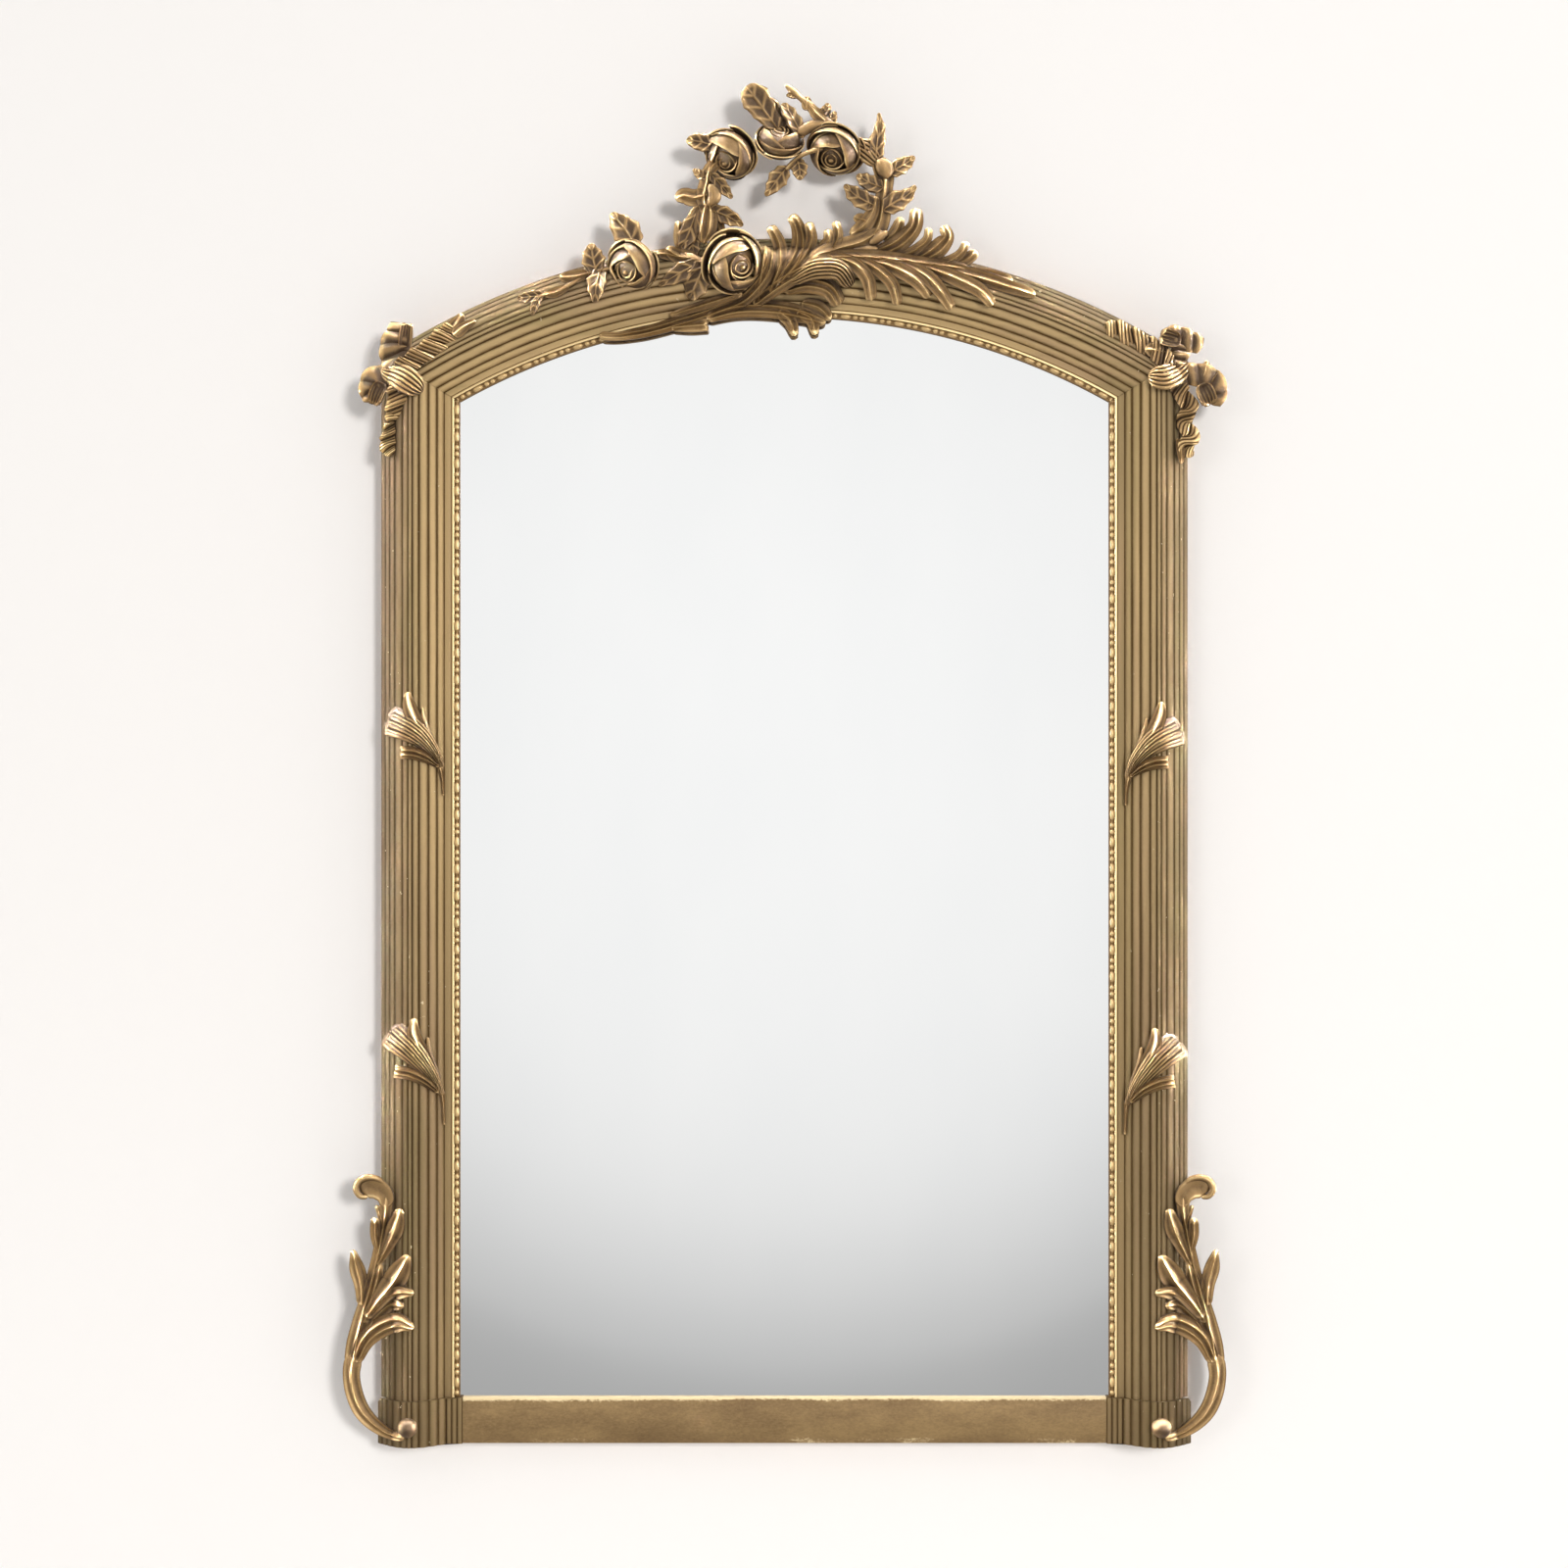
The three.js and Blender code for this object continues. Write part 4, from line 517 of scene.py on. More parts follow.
ROSES = {
    "rose_garland_left": ([-64, 111], 35, [-0.45, -0.8], 0),
    "rose_garland_centre": ([-7, 124], 31, [0.1, 0.9], 0),
    "rose_garland_right": ([61, 116], 35, [-0.35, -0.85], 0),
    "rose_arch_outer": ([-205, -21], 35, [-0.5, -0.5], 8),
    "rose_arch_inner": ([-71, -36], 39, [0.5, -0.35], 8),
}
CREST_STROKES = stroke_tables("""
garland_stem_left
flute: -78 104 9 -2, -91 90 9, -96 73 10.5, -101 54 11.5, -98 36 10.5
fine: -97 45 10.5 6, -101 25 15.5 8, -105 8 14 7, -109 -6 2.5 5
flute: -95 46 8 0, -87 24 8 0, -87 -7 9 0
leaf: -109 46 4 5, -117 27 10.5 6, -127 8 13 5, -140 -10 4 4
leaf: -121 12 6.5, -123 -6 10.5, -122 -24 5
two: -134 -23 8 1, -139 4 8 0, -137 29 5 0
flute: -117 -26 10.5 2, -141 -20 11.5 3, -159 -5 6.5 3
two: -139 -22 6.5 2, -156 -14 8 2, -172 -10 5 2
flute: -96 58 10.5, -115 56 11.5, -127 60 10.5, -137 57 6.5
leaf: -91 86 5 5, -79 69 9 5, -66 51 2.5
leaf tilt=15: -98 38 8 5, -79 30 11.5 6, -65 22 9 5, -54 14 2
round: -93 71 5 8, -88 54 9 8, -98 43 5 6
leaf: -94 82 6.5, -103 86 7, -111 94 2
round: -135 -15 5 5, -122 -26 6 5, -108 -35 4 4
garland_stem_right
ribs: 82 125 11.5, 99 116 15.5, 116 100 10.5
flute: 110 110 10.5, 121 90 13, 124 70 11.5, 124 49 11.5, 124 28 13, 118 7 13, 96 -11 10.5
flute: 115 58 5 6, 113 37 8.5 6, 104 18 10.5 5, 87 3 6.5
leaf: 109 104 9 5, 109 131 10.5 5, 110 150 7, 107 169 1.5
round: 111 105 8 8, 121 96 11.5 10, 126 83 8 7
leaf tilt=15: 127 89 8 5, 139 101 11 6, 148 110 8, 155 118 2
leaf: 123 70 9 5, 107 74 11 5, 95 80 8, 88 84 2.5
leaf tilt=-15: 117 44 9 5, 100 51 12.5 6, 86 60 10.5, 74 70 2
leaf tilt=15: 125 40 9 5, 140 54 14 6, 153 66 9, 162 80 2
two: 110 23 5, 98 26 8, 89 27 4
round: 114 -6 4 7, 125 4 6.5 9, 135 13 4 7
garland_top_leaf
leaf curl=4: -7 139 9, -21 162 15.5, -31 179 19, -39 191 15.5, -43 197 8
leaf tilt=-20: -2 139 9 -2, -9 163 10.5 -3, -15 178 6.5 -4, -18 184 2.5 -4
garland_twig
round: 60 128 10.5 -2, 53 145 8.5, 40 158 7, 29 171 6.5, 18 182 4, 10 190 5, 1 199 2
leaf: 15 184 4, 7 186 4.5, 2 185 1.5
two: 26 166 6.5, 25 175 7, 26 184 4
two: 28 173 4 5, 36 161 8 6, 47 151 6.5 5
leaf tilt=-20: 35 162 5, 46 165 6.5, 50 176 4.5
leaf: 51 143 6, 55 157 6.5, 58 166 2.5
round: 15 134 6.5 4, 31 144 8 5, 49 149 8 5
leaf tilt=20: 22 129 9 3, 12 148 10.5 5, 3 164 9 5, -3 174 4 4
garland_hanging_leaf
round: 46 115 4 10, 25 107 3 12, 11 97 3 9, 2 86 4 5
leaf: 4 91 6.5, -7 76 13, -15 64 9.5, -24 52 2
leaf: 14 102 5 6, 18 89 11 5, 19 73 5
arch_leaves
leaf: -113 -31 6.5, -140 -41 13, -159 -48 9.5, -177 -54 2
leaf: -109 -28 8, -117 -48 17, -127 -63 15.5, -136 -75 6.5
rose_sprig
round: -235 -17 4, -267 -16 4, -300 -25 4, -331 -26 4, -348 -28 2.5
flute: -267 -16 5 5, -290 -15 9.5 6, -306 -10 5
two: -298 -26 4, -318 -29 7, -333 -27 4
leaf: -332 -27 5, -350 -23 8.5, -369 -18 4
leaf: -340 -27 4, -349 -36 6.5, -358 -47 2.5
leaf: -256 -20 6.5, -256 1 15.5 4, -254 22 4
leaf: -249 -14 6.5, -260 -34 13 5, -269 -56 4
rose_leaf
leaf tilt=10: -200 2 11.5, -204 21 19 5, -213 40 14 5, -220 55 2.5
acanthus_fan
flute curl=6: -38 -85 6.5, -34 -61 8, -29 -36 8.5, -26 -17 7
flute curl=6: -20 -73 6.5, -6 -39 9.5, -7 -13 9, -19 11 7
fine curl=7: -8 -63 8, 15 -34 12.5, 21 -5 11.5, 16 13 9, 8 25 7
flute curl=7: 3 -57 5, 26 -31 8.5, 36 -5 8, 31 16 6.5
two curl=5: 26 -42 5, 50 -20 8.5, 59 -5 8, 57 8 6.5
two curl=6: 40 -36 5, 63 -18 7, 71 1 7, 66 19 5.5
fine: -46 -89 8 5, -22 -74 11.5 5, 3 -60 13 5, 37 -44 11.5 4
ribs curl=4: 8 -63 8 5, 46 -47 14 7, 77 -48 13.5 6, 94 -64 11
fine curl=4: -1 -73 8 5, 38 -65 13.5 6, 66 -72 12.5 5, 80 -88 10
acanthus_spray
fine: 40 -39 10.5, 77 -33 14 4, 133 -29 15.5 4, 189 -26 13.5 4, 253 -18 11
two: 128 13 8 4, 100 -6 13 5, 68 -18 12.5 5, 34 -36 10 4
fine curl=6: 116 -22 8 4, 155 3 12.5 6, 169 26 10.5 5, 167 49 8.5
two curl=4: 133 1 5, 145 14 8.5, 150 33 7
two curl=5: 130 -28 6.5 4, 176 -4 7 5, 188 12 6.5, 187 27 5
fine curl=6: 128 -31 6.5 4, 187 -14 9.5 5, 207 6 12.5 5, 213 20 9, 204 33 7
two curl=4: 183 -23 6.5 4, 219 -13 8 4, 235 3 6.5, 239 20 5
two: 210 -19 6.5 1, 239 -7 9 1, 256 11 7 1
flute: 173 -25 9, 234 -23 11, 275 -23 10.5, 312 -23 9, 347 -22 7
two: 242 -17 5 2, 279 -15 8 2, 312 -13 6.5 2
flute curl=5: 58 -27 8 5, 101 -40 9.5 6, 117 -55 9.5 5, 125 -77 7.5
flute curl=5: 90 -26 6.5 5, 134 -44 8.5 6, 153 -58 8.5 5, 163 -78 7
flute curl=5: 112 -28 6.5 5, 162 -38 10.5 6, 187 -48 10.5 5, 206 -63 8.5
flute curl=5: 146 -26 6.5 5, 196 -39 10.5 6, 220 -54 9.5 5, 240 -71 7.5
flute curl=4: 186 -25 6.5 4, 243 -34 10.5 5, 273 -41 9.5 5, 295 -54 7.5
round: 92 -18 4 8, 110 -14 5 9, 125 -11 4 8
acanthus_tail
fine: -18 -21 5, -25 -49 10.5, -51 -76 11.5, -101 -93 10.5, -160 -103 9, -220 -107 7 5, -258 -103 6 6, -277 -97 6.5 6
two: -60 -75 5 5, -111 -84 7 5, -169 -92 4
fine: -117 -103 6.5, -70 -95 11, -22 -96 12.5, 25 -103 11.5, 62 -113 6.5
two blunt=0.3: -170 -108 5, -140 -110 8.5, -115 -111 9
flute curl=4: -9 -99 9, 8 -112 9.5, 16 -131 6
flute curl=4: 19 -99 9, 40 -109 9.5, 47 -129 6
two: 25 -88 6.5 3, 51 -94 10.5 3, 69 -108 6.5 3
""")


def carved(place, strokes, root=0.0):
    return [stroke(place, root=root, **each) for each in strokes]


CARVED = {}
for name, (side, strokes, height) in LEAVES.items():
    CARVED[name] = carved(on_stile(side, height), SIDE_STROKES[strokes])
for side, word in SIDES:
    CARVED[f"bow_{word}"] = carved(on_corner(side), SIDE_STROKES[f"{word}_bow"], root=3)
for side, word in SIDES:
    CARVED[f"bracket_{word}"] = carved(on_stile(side, start=MOULDING_WIDTH), SIDE_STROKES["bracket"])
    lift = PLINTH_PROUD + BOSS["radius"] * 0.4
    middle = on_stile(side)(MOULDING_WIDTH + BOSS["outward"], BOSS["height"], lift)
    CARVED[f"boss_{word}"] = [ball(middle, np.eye(3)[[0, 2, 1]] * BOSS["radius"], 30, 44, bright=-0.6)]
for name, (at, radius, lean, lift) in ROSES.items():
    CARVED[name] = rose(on_head(*at, lift), radius, lean)
CARVED["rose_garland_left"] += carved(on_head, SIDE_STROKES["bud"])
for name, strokes in CREST_STROKES.items():
    CARVED[name] = carved(on_head, strokes)

# ---- how proud each point of the carving lies

MAP_LOW = np.array([-620.0, -20.0])
MAP_SIZE = (1240, 1860)
MAP_BLUR, PROUD_RANGE = 4, 13


def blurred(heights, reach):
    """Mean over a square window, twice, by running sums."""
    for axis in (0, 1, 0, 1):
        padding = [(reach + 1, reach) if a == axis else (0, 0) for a in (0, 1)]
        total = np.cumsum(np.pad(heights, padding, mode="edge"), axis)
        span = 2 * reach + 1
        upper, lower = (np.take(total, np.arange(s, s + heights.shape[axis]), axis) for s in (span, 0))
        heights = (upper - lower) / span
    return heights


def cells_of(points):
    cell = np.floor(points[:, [0, 2]] - MAP_LOW).astype(int)
    return np.clip(cell[:, 0], 0, MAP_SIZE[0] - 1), np.clip(cell[:, 1], 0, MAP_SIZE[1] - 1)


def proud_map():
    """The frame's front as depths on a millimetre grid: the moulding's cushion, and over it every carving."""
    x = MAP_LOW[0] + np.arange(MAP_SIZE[0])[:, None] + 0.5
    z = MAP_LOW[1] + np.arange(MAP_SIZE[1])[None, :] + 0.5
    out = sight_distance(x, z)
    heights = np.where((out > 0) & (out < MOULDING_WIDTH), cushion_depth(out), 0) + 0 * z
    for parts in CARVED.values():
        for part in parts:
            np.maximum.at(heights, cells_of(part.points), -part.points[:, 1])
    for axis in (0, 1):
        heights = np.maximum(heights, np.roll(heights, 1, axis))
    return blurred(heights, MAP_BLUR)


PROUD = proud_map()


def proudness(points):
    """How far a point stands before what surrounds it, from 0 deep in a hollow to 1 well proud."""
    return np.clip(0.5 + (-points[:, 1] - PROUD[cells_of(points)]) / PROUD_RANGE, 0, 1)


# ---- materials


class Value:
    """A node socket that adds, subtracts, multiplies and divides like a number."""

    def __init__(self, tree, socket):
        self.tree, self.socket = tree, socket

    def math(self, operation, *others):
        return self.tree.node("Math", dict(enumerate((self, *others))), operation=operation)

    def __add__(self, other):
        return self.math("ADD", other)

    def __mul__(self, other):
        return self.math("MULTIPLY", other)

    def __sub__(self, other):
        return self.math("SUBTRACT", other)

    def __rsub__(self, other):
        return self.math("MULTIPLY", -1.0).math("ADD", other)

    def __truediv__(self, other):
        return self.math("DIVIDE", other)

    def step(self, low, high):
        """0 below low, 1 above high, smooth between."""
        limits = {"Value": self, "From Min": low, "From Max": high}
        return self.tree.node("MapRange", limits, "Result", interpolation_type="SMOOTHSTEP")


class Tree:
    """A node tree that adds nodes in one call each."""

    def __init__(self, tree):
        self.nodes, self.links = tree.nodes, tree.links

    def node(self, kind, inputs=None, output=0, **settings):
        """A node with its settings and inputs; an input may be a number, a colour or another node's value."""
        node = self.nodes.new("ShaderNode" + kind)
        for key, value in settings.items():
            setattr(node, key, value)
        for key, value in (inputs or {}).items():
            if isinstance(value, Value):
                self.links.new(value.socket, node.inputs[key])
            else:
                node.inputs[key].default_value = value
        return Value(self, node.outputs[output])


class Finish(Tree):
    """A material under construction: its Principled shader and the nodes that feed it."""

    def __init__(self, name, roughness=0.5, metallic=0.0, **settings):
        self.material = bpy.data.materials.new(name)
        self.material.use_nodes = True
        super().__init__(self.material.node_tree)
        self.shader = self.nodes["Principled BSDF"]
        settings = {"Roughness": roughness, "Metallic": metallic, **settings}
        for key, value in settings.items():
            self.shader.inputs[key.replace("_", " ")].default_value = value

    def place(self, scale=(1, 1, 1)):
        at = self.node("TexCoord", output="Object")
        return self.node("Mapping", {"Vector": at, "Scale": scale})

    def height(self, low, high):
        """0 below a height in metres and 1 above another, smooth between."""
        at = self.node("TexCoord", output="Object")
        return self.node("SeparateXYZ", {0: at}, "Z").step(low, high)

    def noise(self, size, detail=3.0, roughness=0.5, stretch=(1, 1, 1)):
        """Noise whose grains are about size millimetres, longer by the stretch."""
        place = self.place(tuple(1 / s for s in stretch))
        settings = {"Vector": place, "Scale": 1000.0 / size, "Detail": detail, "Roughness": roughness}
        return self.node("TexNoise", settings)

    def attribute(self, name):
        return self.node("Attribute", output="Fac", attribute_name=name)

    def mix(self, factor, first, second):
        """One colour into another by a factor."""
        colours = {6: first, 7: second}
        for key, value in colours.items():
            if not isinstance(value, Value):
                colours[key] = (*value, 1.0)
        return self.node("Mix", {0: factor, **colours}, 2, data_type="RGBA")

    def feed(self, name, value):
        self.links.new(value.socket, self.shader.inputs[name])

    def bump(self, height, distance, strength=1.0):
        self.feed("Normal", self.node("Bump", {"Height": height, "Distance": distance, "Strength": strength}))


def tone(red, green, blue):
    """A colour of 0 to 255 as the screen shows it, in linear light."""
    shown = np.array([red, green, blue]) / 255
    light = np.where(shown <= 0.04045, shown / 12.92, ((shown + 0.055) / 1.055) ** 2.4)
    return tuple(float(value) for value in light)


def moulding_finish(name, long_axis):
    """Old matt gilding on the reeds, streaked and chipped; dirt and painted shade in the grooves, painted shade on
    the cushion's outer fall, and the whole darker towards the bottom.
    """
    stretch = (1, 1, 16) if long_axis == "Z" else (10, 1, 1)
    f = Finish(name, roughness=0.7, metallic=0.08, Specular_IOR_Level=0.12)
    ridge, outer = f.attribute("ridge"), f.attribute("outer")
    streak = f.noise(8, 4, 0.6, stretch)
    fine = f.noise(2.2, 4, 0.7, (1, 1, 2))
    # shade runs from 0 in the grooves to 1 on the crests; its dark end paints dirt and shade into the grooves.
    shade = (ridge + (streak - 0.5) * 0.5 + (fine - 0.5) * 0.2).step(0.1, 1.0)
    # Darker outer reeds: painted shade on the cushion's fall away from the front.
    crest = f.mix(outer.step(0.3, 1.0), tone(184, 157, 112), tone(124, 107, 79))
    crest = f.mix((f.noise(70, stretch=stretch) - 0.5).step(0.0, 0.12) * 0.4, crest, tone(150, 122, 98))
    crest = f.mix((f.noise(55, stretch=stretch) - 0.52).step(0.0, 0.12) * 0.4, crest, tone(130, 118, 76))
    # The grooves' painted shade, softer on the outer reeds.
    gold = f.mix(shade, f.mix(outer.step(0.3, 1.0), tone(80, 58, 28), tone(76, 62, 42)), crest)
    # Darker towards the bottom of the frame.
    darker_below = (1.0 - f.height(0.35, 1.15)) * 0.4 + (1.0 - f.height(0.0, 0.15)) * 0.2
    gold = f.mix(darker_below, gold, tone(70, 54, 32))
    chips = (f.noise(6, 3, 0.55, (1, 1, 1.6)) + outer * 0.02).step(0.74, 0.755)
    gold = f.mix(chips * 0.8, gold, tone(214, 196, 160))
    f.feed("Base Color", gold)
    f.feed("Roughness", 0.8 - shade * 0.14 + outer * 0.1)
    f.bump(fine * 0.5 + streak * 0.5, 0.0004, 0.5)
    return f.material


def carving_finish():
    """Water gilding on the carving, bronze between dark hollows and bright arrises: bole, dirt and painted shade in
    the hollows, deepest between pieces and on faces turned away, and rubbed gold with painted highlight on the
    arrises.
    """
    f = Finish("gilded_carving", roughness=0.4, metallic=0.5)
    ridge, proud, bend = f.attribute("ridge"), f.attribute("proud"), f.attribute("bend")
    fine = f.noise(1.8, 4, 0.7)
    broad = f.noise(20, 3, 0.6)
    # Level paints light and shade: proud darkens what lies deep among other pieces as painted shade, ridge brings
    # each form's painted light and shade, and bend lightens arrises and darkens faces turned away.
    level = ridge * 0.42 + proud * 0.62 - 0.13 + (bend - 0.5) * 0.7
    level = level + (broad - 0.5) * 0.35 + (fine - 0.5) * 0.25
    gold = f.mix(level.step(0.0, 0.5), tone(62, 44, 24), tone(136, 107, 66))
    gold = f.mix(level.step(0.5, 1.0), gold, tone(222, 190, 134))
    gold = f.mix((broad - 0.5).step(0.0, 0.25) * 0.3, gold, tone(128, 106, 78))
    f.feed("Base Color", gold)
    f.feed("Roughness", 0.56 - level.step(0.3, 0.95) * 0.22)
    f.bump(fine, 0.0004, 0.4)
    return f.material


def bead_finish():
    """Burnished gilding, bright on the swell of the beads, with painted shade brown in the necks between them."""
    f = Finish("burnished_beads_painted_shade", roughness=0.34, metallic=0.45)
    ridge = f.attribute("ridge")
    fine = f.noise(2.5, 4, 0.7)
    level = ridge + (fine - 0.5) * 0.4
    # Brown where ridge is low: painted shade in the necks between the beads.
    gold = f.mix(level.step(0.05, 0.7), tone(112, 84, 44), tone(192, 162, 112))
    gold = f.mix(level.step(0.8, 1.0), gold, tone(232, 206, 152))
    f.feed("Base Color", gold)
    f.feed("Roughness", 0.5 - level.step(0.1, 0.9) * 0.16)
    return f.material


def rail_finish():
    """The rail's worn gilding, with a pale rubbed lip at the top and flakes along both edges."""
    f = Finish("worn_rail", roughness=0.5, metallic=0.3)
    ridge = f.attribute("ridge")
    broad = f.noise(45, 4, 0.6, (3, 1, 1))
    fine = f.noise(2.4, 4, 0.7, (2, 1, 1))
    gold = f.mix((broad * 0.7 + fine * 0.5 - 0.25).step(0.1, 0.6), tone(98, 74, 40), tone(144, 117, 74))
    wear = (ridge + (broad - 0.5) * 1.1 + (fine - 0.5) * 0.7).step(0.5, 0.72)
    gold = f.mix(wear * 0.8, gold, tone(222, 200, 156))
    f.feed("Base Color", gold)
    f.feed("Roughness", 0.6 - broad * 0.15)
    f.bump(fine * 0.6 + broad, 0.0005, 0.5)
    return f.material


def plate_finish():
    """Silvered glass as a mirror, with a breath of haze."""
    f = Finish("silvered_plate", roughness=0.02, metallic=1.0)
    haze = f.noise(160, stretch=(1, 1, 2))
    f.feed("Base Color", f.mix(haze, tone(243, 244, 244), tone(250, 250, 249)))
    return f.material


def wood_finish(name, upright):
    """Old bare pine: long grain and growth rings along the board, and stains."""
    f = Finish(name, roughness=0.8)
    grain = f.noise(7, 5, 0.6, (1, 1, 26) if upright else (26, 1, 1))
    squeeze = (1, 1, 0.06) if upright else (0.06, 1, 1)
    rings = f.node("TexWave", {"Vector": f.place(squeeze), "Scale": 26.0, "Distortion": 9.0, "Detail": 3.0},
                   bands_direction="X" if upright else "Z")
    stain = f.noise(150)
    wood = f.mix((grain * 0.7 + rings * 0.35).step(0.25, 0.8), tone(104, 74, 46), tone(164, 128, 88))
    wood = f.mix(stain.step(0.45, 0.7) * 0.5, wood, tone(96, 74, 56))
    f.feed("Base Color", wood)
    f.bump(grain, 0.0006, 0.6)
    return f.material


def iron_finish():
    """Dark iron with patches of rust, which are less metallic."""
    f = Finish("rusted_iron", roughness=0.65, metallic=0.7)
    rust = f.noise(9, 5, 0.65)
    f.feed("Base Color", f.mix(rust.step(0.45, 0.62), tone(66, 62, 60), tone(112, 70, 44)))
    f.feed("Metallic", 0.85 - rust.step(0.45, 0.62) * 0.6)
    f.bump(rust, 0.0004, 0.6)
    return f.material


def brass_finish():
    """Brass gone dull in patches."""
    f = Finish("dull_brass", roughness=0.42, metallic=0.9)
    haze = f.noise(8, 4, 0.6)
    f.feed("Base Color", f.mix(haze.step(0.35, 0.7), tone(186, 152, 88), tone(120, 92, 52)))
    f.feed("Roughness", haze * 0.25 + 0.34)
    return f.material


MOULDING_UPRIGHT = moulding_finish("gilded_reeds_upright", "Z")
MOULDING_HEAD = moulding_finish("gilded_reeds_head", "X")
CARVING = carving_finish()
BEADS, RAIL, PLATE = bead_finish(), rail_finish(), plate_finish()
WOOD, UPRIGHT_WOOD = wood_finish("old_pine", False), wood_finish("old_pine_upright", True)
IRON, BRASS = iron_finish(), brass_finish()

# ---- pieces


def bends(points, faces):
    """
    How the surface bends at each point, 1 on arrises, 0 in creases and 0.5 where it is flat: the height of the
    point over the mean of its neighbours, along its normal, as a share of their distance; less where the
    surface turns away from the front, which paints shade on sides and silhouettes.
    """
    first = np.concatenate([f.reshape(-1) for f in faces])
    second = np.concatenate([np.roll(f, -1, 1).reshape(-1) for f in faces])
    gather = lambda index, values: np.stack([np.bincount(index, v, len(points)) for v in values.T], -1)
    number = np.bincount(first, minlength=len(points)) + np.bincount(second, minlength=len(points))
    mean = lambda values: (gather(first, values[second]) + gather(second, values[first])) / number[:, None]
    normal = 0
    for f in faces:
        if len(f):
            across = np.cross(points[f[:, 2]] - points[f[:, 0]], points[f[:, -1]] - points[f[:, 1]])
            normal = normal + sum(gather(f[:, k], across) for k in range(f.shape[1]))
    step = np.linalg.norm(points[first] - points[second], axis=1)[:, None]
    step = (gather(first, step) + gather(second, step))[:, 0] / number
    bend = np.einsum("ij,ij->i", points - mean(points), unit(normal)) / np.maximum(step, 0.05)
    # Faces turned from the front get less: painted shade on sides and silhouettes.
    facing = smooth(-unit(normal)[:, 1], -0.1, 0.55)
    return np.clip(0.5 + 1.3 * mean(bend[:, None])[:, 0], 0, 1) * (0.35 + 0.65 * facing)


def placed(name, data):
    """A new object in the scene."""
    obj = bpy.data.objects.new(name, data)
    bpy.context.scene.collection.objects.link(obj)
    return obj


def block(centre, axes):
    """A block from its centre and the three axes that reach from it to the middles of its faces."""
    signs = np.array([[x, y, z] for x in (-1, 1) for y in (-1, 1) for z in (-1, 1)])
    quads = np.array([[0, 1, 3, 2], [4, 6, 7, 5], [0, 4, 5, 1], [2, 3, 7, 6], [0, 2, 6, 4], [1, 5, 7, 3]])
    return Surface(np.asarray(centre) + signs @ np.asarray(axes, float), quads, NO_TRIANGLES, np.zeros(8))


def hollow(obj, blocks):
    """Cut blocks out of a piece; what the cut leaves becomes the piece's own mesh."""
    mesh = bpy.data.meshes.new("cutter")
    corners = np.concatenate([each.points for each in blocks]) * METRES
    quads = np.concatenate([each.quads + 8 * k for k, each in enumerate(blocks)])
    mesh.from_pydata(corners.tolist(), [], quads.tolist())
    cutter = placed("cutter", mesh)
    cut = obj.modifiers.new("cut", "BOOLEAN")
    cut.operation, cut.solver, cut.object = "DIFFERENCE", "EXACT", cutter
    graph = bpy.context.evaluated_depsgraph_get()
    result = bpy.data.meshes.new_from_object(
        obj.evaluated_get(graph), preserve_all_data_layers=True, depsgraph=graph
    )
    obj.modifiers.clear()
    whole, obj.data = obj.data, result
    result.name = obj.name
    bpy.data.meshes.remove(whole)
    bpy.data.objects.remove(cutter)
    bpy.data.meshes.remove(mesh)


def bare_back(mesh, depth, wood):
    """Bare wood on the faces that turn to the wall, and on all that lie wholly within a depth of it."""
    mesh.materials.append(wood)
    normals, middles = np.zeros((2, len(mesh.polygons), 3), np.float32)
    mesh.polygons.foreach_get("normal", normals.reshape(-1))
    mesh.polygons.foreach_get("center", middles.reshape(-1))
    edge = np.abs(middles[:, 0]) > (HALF_WIDTH - 1) * METRES
    near = (middles[:, 1] > -depth * METRES) & ~edge & (np.abs(normals[:, 1]) < 0.5)
    bare = (normals[:, 1] > 0.5) | near
    mesh.polygons.foreach_set("material_index", bare.astype(np.int32))


def piece(name, parts, material, nodes, hollows=(), bare=None):
    """One object from closed surfaces, in metres, with values at each point for its finish to read."""
    starts = np.cumsum([0] + [len(part.points) for part in parts])
    points = np.concatenate([part.points for part in parts])
    faces = [f + start for part, start in zip(parts, starts) for f in (part.quads, part.triangles)]
    loops = np.concatenate([f.reshape(-1) for f in faces])
    sizes = np.concatenate([np.full(len(f), f.shape[1]) for f in faces])
    mesh = bpy.data.meshes.new(name)
    mesh.vertices.add(len(points))
    mesh.vertices.foreach_set("co", (points * METRES).astype(np.float32).reshape(-1))
    mesh.loops.add(len(loops))
    mesh.loops.foreach_set("vertex_index", loops.astype(np.int32))
    mesh.polygons.add(len(sizes))
    mesh.polygons.foreach_set("loop_start", (np.cumsum(sizes) - sizes).astype(np.int32))
    mesh.update(calc_edges=True)
    mesh.validate()
    values_at = {
        "ridge": np.concatenate([part.ridge for part in parts]),
        "proud": proudness(points),
        "bend": np.concatenate([bends(part.points, (part.quads, part.triangles)) for part in parts]),
        "outer": np.clip(sight_distance(points[:, 0], points[:, 2]) / MOULDING_WIDTH, 0, 1),
    }
    for key, values in values_at.items():
        mesh.attributes.new(key, "FLOAT", "POINT").data.foreach_set("value", values.astype(np.float32))
    mesh.materials.append(material)
    obj = placed(name, mesh)
    if hollows:
        hollow(obj, hollows)
    if bare:
        bare_back(obj.data, *bare)
    obj.data.shade_smooth()
    obj.data.set_sharp_from_angle(angle=CREASE_ANGLE)
    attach(obj, "frame")
    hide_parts(*nodes)


for name, parts in CARVED.items():
    piece(f"{name}_carved", parts, CARVING, [name])

# ---- mouldings


